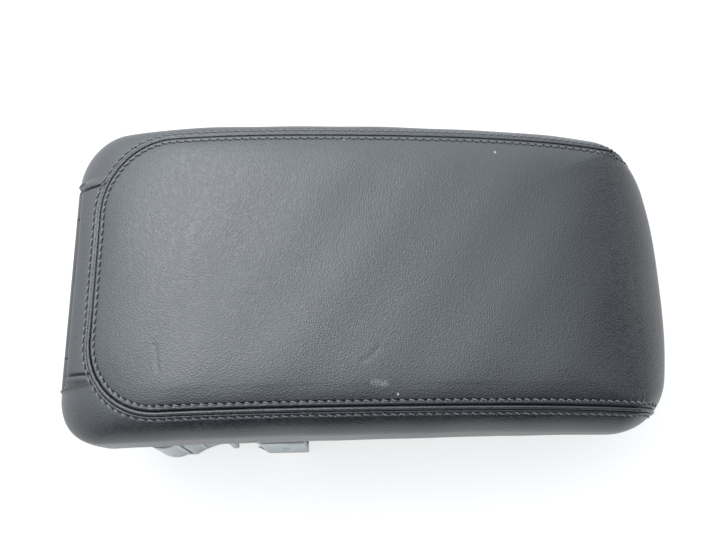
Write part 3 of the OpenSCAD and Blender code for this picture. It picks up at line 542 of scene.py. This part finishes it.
    def row_line(self, level):
        """The line on the skin where the seam distance has one value: its crossings of all the grid's
        edges, in order of the length along the seam, made even and smoothed over a millimetre."""
        found = []
        every, first, last, close = slice(None), slice(None, -1), slice(1, None), 0.004
        for a, b in (((every, first), (every, last)), ((first,), (last,))):
            da, db = self.d[a] - level, self.d[b] - level
            hit = (da * db < 0) & (np.abs(da) < close) & (np.abs(db) < close)
            hit &= np.abs(self.s[a] - self.s[b]) < close
            u = (da[hit] / (da[hit] - db[hit]))[:, None]
            both = [np.column_stack([self.s[k][hit], self.p[k][hit], self.nrm[k][hit]]) for k in (a, b)]
            found.append(both[0] * (1 - u) + both[1] * u)
        found = np.concatenate(found)
        found = found[np.argsort(found[:, 0])]
        s = np.arange(found[0, 0], found[-1, 0], 0.00025)
        even = np.stack([np.interp(s, found[:, 0], found[:, k]) for k in range(1, 7)], 1)
        weight = np.exp(-0.5 * (np.arange(-12, 13) / 4.0) ** 2)
        wide = np.pad(even, ((12, 12), (0, 0)), mode="edge")
        weight /= weight.sum()
        even = np.stack([np.convolve(wide[:, k], weight, "valid") for k in range(6)], 1)
        return s, even[:, :3], even[:, 3:] / np.linalg.norm(even[:, 3:], axis=1)[:, None]


def make_piece(name, points, faces, material, uv=None, body="lid"):
    """A mesh object at the origin that rides on a body and is shaded smooth."""
    mesh = bpy.data.meshes.new(name)
    mesh.from_pydata(points, [], faces)
    if uv is not None:
        layer = mesh.uv_layers.new(name="seam")
        vertex = np.zeros(len(mesh.loops), np.int32)
        mesh.loops.foreach_get("vertex_index", vertex)
        layer.data.foreach_set("uv", uv[vertex].astype(np.float32).ravel())
    mesh.shade_smooth()
    mesh.materials.append(material)
    mesh.validate()
    piece = bpy.data.objects.new(name, mesh)
    bpy.context.scene.collection.objects.link(piece)
    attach(piece, body)
    return piece


def tube(path, radius, sides, up=None):
    """Points and faces of a round tube carried along a path, with closed ends."""
    t = np.gradient(path, axis=0)
    t /= np.linalg.norm(t, axis=1)[:, None]
    side = np.cross(t, up)
    side /= np.linalg.norm(side, axis=1)[:, None]
    rise = np.cross(side, t)
    a = np.linspace(0, 2 * np.pi, sides, endpoint=False)
    radius = np.broadcast_to(radius, len(path))[:, None, None]
    ring = np.cos(a)[None, :, None] * side[:, None] + np.sin(a)[None, :, None] * rise[:, None]
    points = (path[:, None] + radius * ring).reshape(-1, 3)
    k = np.arange(len(points)).reshape(len(path), sides)
    nxt = np.roll(k, -1, 1)
    quads = np.stack([k[:-1], nxt[:-1], nxt[1:], k[1:]], 2).reshape(-1, 4).tolist()
    return points, quads + [k[0, ::-1].tolist(), k[-1].tolist()]


class Nodes:
    """Adds nodes to a material's tree with their inputs set or linked in one call."""

    def __init__(self, name):
        self.material = bpy.data.materials.new(name)
        self.material.use_nodes = True
        self.tree = self.material.node_tree
        self.tree.nodes.clear()
        self.count = 0

    def add(self, kind, inputs=(), **settings):
        node = self.tree.nodes.new(kind)
        node.location = (220 * (self.count % 12), -260 * (self.count // 12))
        self.count += 1
        for key, value in settings.items():
            setattr(node, key, value)
        for key, value in dict(inputs).items():
            if isinstance(value, bpy.types.NodeSocket):
                self.tree.links.new(value, node.inputs[key])
            else:
                node.inputs[key].default_value = value
        return node

    def math(self, operation, a, b=0.0, c=0.0, clamp=False):
        inputs = {0: a, 1: b, 2: c}
        return self.add("ShaderNodeMath", inputs, operation=operation, use_clamp=clamp).outputs[0]

    def vector(self, operation, a, b=(0, 0, 0), out=0):
        return self.add("ShaderNodeVectorMath", {0: a, 1: b}, operation=operation).outputs[out]

    def ramp(self, value, low, high, to_low=0.0, to_high=1.0):
        """Smooth step from to_low at low to to_high at high."""
        return self.add(
            "ShaderNodeMapRange",
            {0: value, 1: low, 2: high, 3: to_low, 4: to_high},
            interpolation_type="SMOOTHSTEP",
        ).outputs[0]

    def noise(self, coord, scale, detail=2.0, rough=0.5):
        return self.add(
            "ShaderNodeTexNoise", {"Vector": coord, "Scale": scale, "Detail": detail, "Roughness": rough}
        ).outputs[0]

    def mix(self, factor, a, b):
        node = self.add("ShaderNodeMix", {0: factor, 6: a, 7: b}, data_type="RGBA")
        return node.outputs[2]

    def bump(self, height, distance, strength=1.0, normal=None):
        inputs = {"Height": height, "Distance": distance, "Strength": strength}
        if normal is not None:
            inputs["Normal"] = normal
        return self.add("ShaderNodeBump", inputs).outputs[0]

    def principled(self, **inputs):
        names = {k.replace("_", " "): v for k, v in inputs.items()}
        shader = self.add("ShaderNodeBsdfPrincipled", names)
        self.add("ShaderNodeOutputMaterial", {"Surface": shader.outputs[0]})
        return self.material

    def coords(self, kind="Object"):
        return self.add("ShaderNodeTexCoord").outputs[kind]

    def segment(self, coord, a, b):
        """Distance of each point from the straight line between a and b."""
        a, b = Vector(a), Vector(b)
        along = b - a
        start = self.vector("SUBTRACT", coord, a)
        ahead = self.vector("DOT_PRODUCT", start, along, 1)
        share = self.math("MULTIPLY", ahead, 1 / along.length_squared, clamp=True)
        scaled = self.add("ShaderNodeVectorMath", {0: along, "Scale": share}, operation="SCALE").outputs[0]
        return self.vector("LENGTH", self.vector("SUBTRACT", start, scaled), out=1)


def shade(colour, factor):
    return (*[c * factor for c in colour[:3]], 1.0)


# Marks of wear on the top, in metres on the plan.
# The crease is a dent; its dark core is painted shade in the fold.
CREASE = ((-0.0025, -0.0519, 0), (0.0019, -0.0492, 0), (0.0054, -0.0449, 0))
OLD_CREASE = ((-0.1063, -0.0414, 0), (-0.1040, -0.0541, 0))
SCUFF = ((0.0025, -0.0625, 0), (0.0085, -0.0630, 0))
SPECKS = (
    ((0.0142, -0.0680, 0), 0.0008),
    ((0.0704, 0.0636, 0), 0.0009),
    ((-0.0109, 0.0704, 0), 0.0007),
)
SMUDGE = (-0.0857, -0.0160, 0)


def leather_material(finish, seam, marks):
    """Dyed leather: pebble grain, slow shifts of tone, pinched stitch holes darkened with painted shade,
    and the marks of wear, whose crease is darkened with painted shade.
    """
    m = Nodes("leather_marked" if marks else "leather")
    at = m.coords()
    warp = m.noise(at, 0.35 / finish.grain, 2.0)
    shift = m.add("ShaderNodeCombineXYZ", {0: warp, 1: warp, 2: warp}).outputs[0]
    bent = m.vector("ADD", at, m.vector("MULTIPLY", shift, (0.0007, 0.0005, 0.0006)))
    pebbles = {"Vector": bent, "Scale": 1 / finish.grain}
    cells = m.add("ShaderNodeTexVoronoi", pebbles, feature="DISTANCE_TO_EDGE").outputs[0]
    pebble = m.ramp(cells, 0.02, 0.32)
    pores = m.noise(at, 2.6 / finish.grain, 3.0)
    grain = m.math("MULTIPLY_ADD", pores, 0.35, pebble)
    broad = m.noise(at, 14.0, 3.0)
    dye = m.mix(m.ramp(broad, 0.3, 0.7), shade(finish.leather, 0.9), shade(finish.leather, 1.1))
    colour = m.mix(m.ramp(pebble, 0.0, 0.6, 0.35, 0.0), dye, shade(finish.leather, 0.55))
    uv = m.add("ShaderNodeSeparateXYZ", {0: m.coords("UV")}).outputs
    along = m.math("FRACT", m.math("MULTIPLY", uv[0], 1 / seam.pitch))
    to_hole = m.math("MULTIPLY", m.math("ABSOLUTE", m.math("SUBTRACT", along, 0.5)), seam.pitch)
    hole_gap = m.math("SUBTRACT", seam.pitch / 2, to_hole)
    middle, reach = (seam.row_inner - seam.row_outer) / 2, (seam.row_inner + seam.row_outer) / 2
    off_middle = m.math("ABSOLUTE", m.math("ADD", uv[1], middle))
    across = m.math("ABSOLUTE", m.math("SUBTRACT", off_middle, reach))
    far = m.math("SQRT", m.math("ADD", m.math("POWER", hole_gap, 2.0), m.math("POWER", across, 2.0)))
    hole = m.ramp(far, 0.0003, 0.0009, 1.0, 0.0)
    # Painted shade: the stitch holes are darkened almost to black.
    colour = m.mix(m.math("MULTIPLY", hole, 0.75), colour, shade(finish.leather, 0.12))
    normal = m.bump(grain, 0.00012, 0.7)
    normal = m.bump(m.math("MULTIPLY", hole, -1.0), 0.0006, 0.8, normal)
    rough = m.ramp(broad, 0.3, 0.7, 0.31, 0.37)
    if marks:
        flat = m.vector("MULTIPLY", at, (1, 1, 0))
        crease = m.math("MINIMUM", m.segment(flat, *CREASE[:2]), m.segment(flat, *CREASE[1:]))
        # cut is the crease's core: a dent in the bump, and painted shade in the colour below.
        cut = m.ramp(crease, 0.0, 0.0006, 1.0, 0.0)
        swell = m.ramp(crease, 0.0004, 0.0028, 1.0, 0.0)
        sunk = m.math("MULTIPLY_ADD", swell, -0.9, m.math("MULTIPLY", cut, -0.5))
        normal = m.bump(sunk, 0.00018, 0.6, normal)
        # Painted shade: the crease's core is darkened to a quarter of the leather's colour.
        colour = m.mix(m.math("MULTIPLY", cut, 0.4), colour, shade(finish.leather, 0.25))
        old = m.segment(flat, *OLD_CREASE)
        normal = m.bump(m.ramp(old, 0.0, 0.0022, -0.5, 0.0), 0.0005, 0.8, normal)
        speckle = m.noise(at, 1500.0, 1.0)
        scuff = m.ramp(m.segment(flat, *SCUFF), 0.0002, 0.0026, 1.0, 0.0)
        scuff = m.math("MULTIPLY", scuff, m.ramp(speckle, 0.42, 0.62))
        colour = m.mix(m.math("MULTIPLY", scuff, 0.5), colour, (0.30, 0.31, 0.33, 1))
        away = lambda spot: m.vector("LENGTH", m.vector("SUBTRACT", flat, spot), out=1)
        for spot, size in SPECKS:
            mark = m.ramp(away(spot), size * 0.3, size, 1.0, 0.0)
            colour = m.mix(m.math("MULTIPLY", mark, 0.75), colour, (0.5, 0.51, 0.52, 1))
        smudge = m.ramp(away(SMUDGE), 0.001, 0.007, 1.0, 0.0)
        colour = m.mix(m.math("MULTIPLY", smudge, 0.22), colour, shade(finish.leather, 0.3))
    return m.principled(Base_Color=colour, Roughness=rough, Normal=normal, Specular_IOR_Level=0.9)


def thread_material(finish):
    """Twisted thread: fine slanted ribs and a soft sheen."""
    m = Nodes("stitch_thread")
    at = m.coords()
    wave = {"Vector": at, "Scale": 420.0, "Distortion": 1.5}
    ribs = m.add("ShaderNodeTexWave", wave, bands_direction="DIAGONAL").outputs[1]
    colour = m.mix(ribs, shade(finish.thread, 0.6), shade(finish.thread, 1.3))
    normal = m.bump(ribs, 0.0001, 0.6)
    return m.principled(Base_Color=colour, Roughness=0.5, Normal=normal, Sheen_Weight=0.3)


def cast_material(finish):
    """Die-cast alloy: dull, with a fine skin, faint flow marks and darker specks."""
    m = Nodes("cast_alloy")
    at = m.coords()
    skin = m.noise(at, 1400.0, 3.0)
    flow = m.noise(m.vector("MULTIPLY", at, (1, 1, 0.35)), 38.0, 4.0)
    colour = m.mix(m.ramp(flow, 0.3, 0.7), shade(finish.casting, 0.86), shade(finish.casting, 1.06))
    specks = m.ramp(m.noise(at, 420.0, 1.0), 0.66, 0.74)
    colour = m.mix(m.math("MULTIPLY", specks, 0.35), colour, shade(finish.casting, 0.45))
    rough = m.ramp(flow, 0.3, 0.7, 0.38, 0.52)
    normal = m.bump(m.math("MULTIPLY_ADD", flow, 0.8, skin), 0.00006, 0.5)
    return m.principled(Base_Color=colour, Roughness=rough, Normal=normal, Metallic=0.1)


def plain_material(name, colour, rough, metal=0.0, bump=0.35, scale=1800.0, depth=0.00004):
    """Moulded plastic, steel, rubber or foam: one colour that shifts a little, with a fine skin."""
    m = Nodes(name)
    at = m.coords()
    skin = m.noise(at, scale, 2.0)
    broad = m.noise(at, 30.0, 2.0)
    dye = m.mix(m.ramp(broad, 0.3, 0.7), shade(colour, 0.88), shade(colour, 1.1))
    roughness = m.ramp(broad, 0.3, 0.7, rough - 0.04, rough + 0.05)
    normal = m.bump(skin, depth, bump)
    return m.principled(Base_Color=dye, Roughness=roughness, Normal=normal, Metallic=metal)


_built = {}


def skin():
    """The lid's skin, worked out once from the scene's sizes."""
    if "skin" not in _built:
        _built["skin"] = Skin(bpy.context.scene.armrest_lid, bpy.context.scene.armrest_seam)
        finish, seam = bpy.context.scene.armrest_finish, bpy.context.scene.armrest_seam
        _built["leather"] = leather_material(finish, seam, False)
        _built["marked"] = leather_material(finish, seam, True)
    return _built["skin"]


class ARMREST_OT_covers(bpy.types.Operator):
    """Leather covers: the top with its nose, the two sides with their ears, and the rear"""

    bl_idname = "armrest.covers"
    bl_label = "Leather Covers"

    def execute(self, context):
        k = skin()
        n, rs = k.n, k.r_seam
        every = np.arange(len(k.p))
        top_p, top_f, top_uv = k.cut(every[: rs + 1], np.arange(n + 1) % n)
        nose_cols = np.arange(-k.i_seam, k.i_seam + 1) % n
        nose_p, nose_f, nose_uv = k.cut(every[rs:], nose_cols)
        centre = k.p[0].mean(0) + np.array([0, 0, 0.00002])
        points = np.concatenate([top_p, nose_p, centre[None]])
        uv = np.concatenate([top_uv, nose_uv, [[0, -0.05]]])
        fan = [[len(points) - 1, i, i + 1] for i in range(n)]
        faces = top_f.tolist() + (nose_f + len(top_p)).tolist() + fan
        top = make_piece("cover_top", points, faces, _built["marked"], uv)
        self.weld(top)
        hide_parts("top_panel")
        far = np.arange(k.i_seam, k.i_panel + 1)
        near = (n - far)[::-1]
        rear = np.arange(k.i_panel, n - k.i_panel + 1)
        for name, cols, node in (
            ("cover_side_left", far, "side_panel_left"),
            ("cover_side_right", near, "side_panel_right"),
            ("cover_rear", rear, "rear_panel"),
        ):
            p, f, uv = k.cut(every[rs:], cols)
            piece = make_piece(name, p, f.tolist(), _built["leather"], uv)
            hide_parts(node)
        return {"FINISHED"}

    def weld(self, piece):
        """Joins the top and the nose where they meet, so that the shading runs on."""
        import bmesh

        bm = bmesh.new()
        bm.from_mesh(piece.data)
        bmesh.ops.remove_doubles(bm, verts=bm.verts, dist=1e-6)
        bm.to_mesh(piece.data)
        bm.free()
        piece.data.shade_smooth()


# The foam layer runs this many rows past the seam, between these depths under the leather.
FOAM_ROWS = 22
FOAM_DEPTHS = (0.0018, 0.0038)


class ARMREST_OT_padding(bpy.types.Operator):
    """Padding: the foam layer under the leather of the top and the roll"""

    bl_idname = "armrest.padding"
    bl_label = "Padding"

    def execute(self, context):
        k, foam = skin(), context.scene.armrest_finish.foam
        rows, n = k.r_seam + FOAM_ROWS, k.n
        flat, nrm = k.flat[:rows], k.flat_nrm[:rows]
        sheets = [(flat - nrm * depth).reshape(-1, 3) for depth in FOAM_DEPTHS]
        i = np.arange(rows * n).reshape(rows, n)
        nxt = np.roll(i, -1, 1)
        outer = np.stack([i[:-1], i[1:], nxt[1:], nxt[:-1]], 2).reshape(-1, 4)
        rim = np.stack([i[-1], i[-1] + rows * n, nxt[-1] + rows * n, nxt[-1]], 1)
        faces = np.concatenate([outer, outer[:, ::-1] + rows * n, rim]).tolist()
        faces += [i[0].tolist(), (i[0, ::-1] + rows * n).tolist()]
        material = plain_material("foam", foam, 0.9, 0, 1.0, 700.0, 0.0003)
        piece = make_piece("foam_layer", np.concatenate(sheets), faces, material)
        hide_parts("foam_pad")
        return {"FINISHED"}


class ARMREST_OT_welt(bpy.types.Operator):
    """Welt: a leather cord that lies in the seam's groove"""

    bl_idname = "armrest.welt"
    bl_label = "Welt"

    def execute(self, context):
        k, seam = skin(), context.scene.armrest_seam
        s = np.arange(WELT_START, k.path_s[-1] - WELT_START, 0.0009)
        path = np.stack([np.interp(s, k.path_s, k.path[:, i]) for i in range(3)], 1)
        up = np.stack([np.interp(s, k.path_s, k.path_n[:, i]) for i in range(3)], 1)
        near = smooth(-path[:, 1], *NEAR_SIDE)
        path = path - up * (WELT_FAR + (WELT_NEAR - WELT_FAR) * near)[:, None]
        points, faces = tube(path, seam.welt_r, 12, up)
        no_holes = np.full((len(points), 2), 0.05)
        piece = make_piece("seam_welt_cord", points, faces, _built["leather"], no_holes)
        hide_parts("seam_welt")
        return {"FINISHED"}


class ARMREST_OT_stitches(bpy.types.Operator):
    """Stitches: two rows of slanted thread along the seam"""

    bl_idname = "armrest.stitches"
    bl_label = "Stitches"

    def execute(self, context):
        k, seam = skin(), context.scene.armrest_seam
        material = thread_material(context.scene.armrest_finish)
        rings, sides = 7, 6
        for name, side in (("stitches_inner", -1), ("stitches_outer", 1)):
            first = math.ceil(STITCH_START / seam.pitch)
            count = int((k.path_s[-1] - STITCH_START) / seam.pitch) - first
            start = (np.arange(first, first + count)) * seam.pitch
            u = np.linspace(0, 1, rings)
            gap = (seam.pitch - seam.stitch_len) / 2
            s = (start[:, None] + gap + seam.stitch_len * u[None]).ravel()
            line_s, line_p, line_n = k.row_line(seam.row_outer if side > 0 else -seam.row_inner)
            across = np.cross(np.gradient(line_p, axis=0), line_n)
            across /= np.linalg.norm(across, axis=1)[:, None]
            at = lambda values: np.stack([np.interp(s, line_s, values[:, i]) for i in range(3)], 1)
            nrm = at(line_n)
            p = at(line_p) + at(across) * (np.tile(u - 0.5, count) * seam.slant)[:, None]
            lift = seam.thread_r * (1.0 - 2.3 * np.abs(2 * u - 1) ** 3)
            p = p + nrm * np.tile(lift, count)[:, None]
            p, nrm = p.reshape(count, rings, 3), nrm.reshape(count, rings, 3)
            points, faces, base = [], [], 0
            thick = seam.thread_r * (1 - 0.35 * np.abs(2 * u - 1) ** 4)
            for i in range(count):
                q, f = tube(p[i], thick, sides, nrm[i])
                points.append(q)
                faces += [[v + base for v in face] for face in f]
                base += len(q)
            make_piece(name, np.concatenate(points), faces, material)
        return {"FINISHED"}


class ARMREST_OT_finishes(bpy.types.Operator):
    """Finishes: casting, steel, plastic, rubber and bronze on the parts that keep their own shape"""

    bl_idname = "armrest.finishes"
    bl_label = "Finishes"

    def execute(self, context):
        finish = context.scene.armrest_finish
        steel = plain_material("bright_steel", (0.55, 0.56, 0.57), 0.32, 0.9)
        dark = plain_material("barrel_plastic", shade(finish.leather, 1.15), 0.42, 0, 0.5, 900.0)
        black = plain_material("shell_plastic", (0.022, 0.022, 0.024), 0.5, 0, 0.5, 900.0)
        rubber = plain_material("rubber", (0.018, 0.018, 0.018), 0.7)
        bronze = plain_material("bronze", (0.5, 0.34, 0.15), 0.35, 0.9)
        cast = cast_material(finish)
        groups = {
            cast: ["base_frame"],
            steel: ["hinge_pin", "retaining_rings", "lid_springs", "hinge_arm_left", "hinge_arm_right",
                    "arm_screws", "shell_screws", "latch_screws", "latch_pin", "latch_spring"],
            dark: ["hinge_cover", "hinge_cap_left", "hinge_cap_right"],
            black: ["lower_shell", "upper_shell", "latch_housing", "latch_lever"],
            rubber: ["base_bumpers"],
            bronze: ["hinge_bushes"],
        }
        for material, nodes in groups.items():
            for name in nodes:
                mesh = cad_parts[name].data
                mesh.materials.clear()
                mesh.materials.append(material)
        return {"FINISHED"}


class ARMREST_OT_stage(bpy.types.Operator):
    """Stage: a pale floor, soft light and the camera at the photograph's angle"""

    bl_idname = "armrest.stage"
    bl_label = "Stage"

    def execute(self, context):
        scene = context.scene
        scene.view_settings.view_transform = "Standard"
        self.floor(scene)
        self.world(scene)
        self.lamp(scene, "key_light", (-0.95, 1.05, 2.0), 1.9, 32.0)
        cam = bpy.data.cameras.new("camera")
        cam.sensor_width, cam.lens = 36.0, 45.061
        cam.clip_start, cam.clip_end = 0.01, 50
        holder = bpy.data.objects.new("camera", cam)
        scene.collection.objects.link(holder)
        right = Vector((0.99973, -0.01471, -0.01802))
        up = Vector((0.01969, 0.94754, 0.31902))
        back = right.cross(up)
        place = Vector((0.00232, -0.15092, 0.53047))
        matrix = Matrix((right, up, back)).transposed().to_4x4()
        matrix.translation = place
        holder.matrix_world = matrix
        scene.camera = holder
        return {"FINISHED"}

    def lamp(self, scene, name, place, size, power):
        """A square soft light that looks at the armrest."""
        data = bpy.data.lights.new(name, "AREA")
        data.size, data.energy = size, power
        lamp = bpy.data.objects.new(name, data)
        scene.collection.objects.link(lamp)
        lamp.location = place
        aim = Vector((0, 0, 0.06)) - lamp.location
        lamp.rotation_euler = aim.to_track_quat("-Z", "Y").to_euler()

    def floor(self, scene):
        """A white floor. Seen directly it glows, so that only a faint shadow shows on it."""
        m = Nodes("floor")
        path = m.add("ShaderNodeLightPath").outputs
        through = m.math("MAXIMUM", path["Is Glossy Ray"], path["Is Transmission Ray"])
        seen = m.math("MAXIMUM", path["Is Camera Ray"], through)
        paint = m.mix(seen, (0.84, 0.85, 0.86, 1), (0.3, 0.3, 0.3, 1))
        own = m.add("ShaderNodeBsdfDiffuse", {"Color": paint})
        strength = m.math("MULTIPLY", seen, 0.74)
        glow = m.add("ShaderNodeEmission", {"Color": (1, 1, 1, 1), "Strength": strength})
        both = m.add("ShaderNodeAddShader", {0: own.outputs[0], 1: glow.outputs[0]})
        m.add("ShaderNodeOutputMaterial", {"Surface": both.outputs[0]})
        mesh = bpy.data.meshes.new("floor")
        r = 6.0
        mesh.from_pydata([(-r, -r, 0), (r, -r, 0), (r, r, 0), (-r, r, 0)], [], [(0, 1, 2, 3)])
        mesh.materials.append(m.material)
        floor = bpy.data.objects.new("floor", mesh)
        scene.collection.objects.link(floor)
        floor.location.z = -0.0002

    def world(self, scene):
        """White to the eye; as light it is soft and fades towards the near right side."""
        world = bpy.data.worlds.new("room")
        world.use_nodes = True
        scene.world = world
        t = world.node_tree
        t.nodes.clear()

        def add(kind, inputs=(), **settings):
            node = t.nodes.new(kind)
            for key, value in settings.items():
                setattr(node, key, value)
            for key, value in dict(inputs).items():
                if isinstance(value, bpy.types.NodeSocket):
                    t.links.new(value, node.inputs[key])
                else:
                    node.inputs[key].default_value = value
            return node

        way = add("ShaderNodeTexCoord").outputs["Generated"]
        bright = Vector((-0.33, 0.64, 0.69)).normalized()
        side = add("ShaderNodeVectorMath", {0: way, 1: bright}, operation="DOT_PRODUCT").outputs[1]
        span = {0: side, 1: -0.15, 2: 1.0, 3: 0.03, 4: 2.6}
        level = add("ShaderNodeMapRange", span, interpolation_type="SMOOTHSTEP").outputs[0]
        path = add("ShaderNodeLightPath").outputs
        light = add("ShaderNodeBackground", {"Color": (0.84, 0.93, 1.0, 1), "Strength": level})
        white = add("ShaderNodeBackground", {"Color": (1, 1, 1, 1), "Strength": 1.0})
        shaders = {0: path["Is Camera Ray"], 1: light.outputs[0], 2: white.outputs[0]}
        mix = add("ShaderNodeMixShader", shaders)
        add("ShaderNodeOutputWorld", {"Surface": mix.outputs[0]})


class ARMREST_PT_panel(bpy.types.Panel):
    """Sizes, finishes and build buttons in the 3D view's sidebar"""

    bl_idname = "ARMREST_PT_panel"
    bl_label = "Centre Armrest"
    bl_space_type = "VIEW_3D"
    bl_region_type = "UI"
    bl_category = "Armrest"

    def draw(self, context):
        for group in ("armrest_lid", "armrest_seam", "armrest_finish"):
            box = self.layout.box()
            sizes = getattr(context.scene, group)
            for name in sizes.__annotations__:
                box.prop(sizes, name)
        for operator in OPERATORS:
            self.layout.operator(operator.bl_idname)


OPERATORS = (
    ARMREST_OT_covers,
    ARMREST_OT_padding,
    ARMREST_OT_welt,
    ARMREST_OT_stitches,
    ARMREST_OT_finishes,
    ARMREST_OT_stage,
)
GROUPS = {
    "armrest_lid": ARMREST_PG_lid,
    "armrest_seam": ARMREST_PG_seam,
    "armrest_finish": ARMREST_PG_finish,
}
CLASSES = (*GROUPS.values(), *OPERATORS, ARMREST_PT_panel)


def register():
    for cls in CLASSES:
        bpy.utils.register_class(cls)
    for name, group in GROUPS.items():
        setattr(bpy.types.Scene, name, PointerProperty(type=group))


def unregister():
    for name in GROUPS:
        delattr(bpy.types.Scene, name)
    for cls in reversed(CLASSES):
        bpy.utils.unregister_class(cls)


def main():
    register()
    for name in ("covers", "padding", "welt", "stitches", "finishes", "stage"):
        getattr(bpy.ops.armrest, name)()


if __name__ == "__main__":
    main()
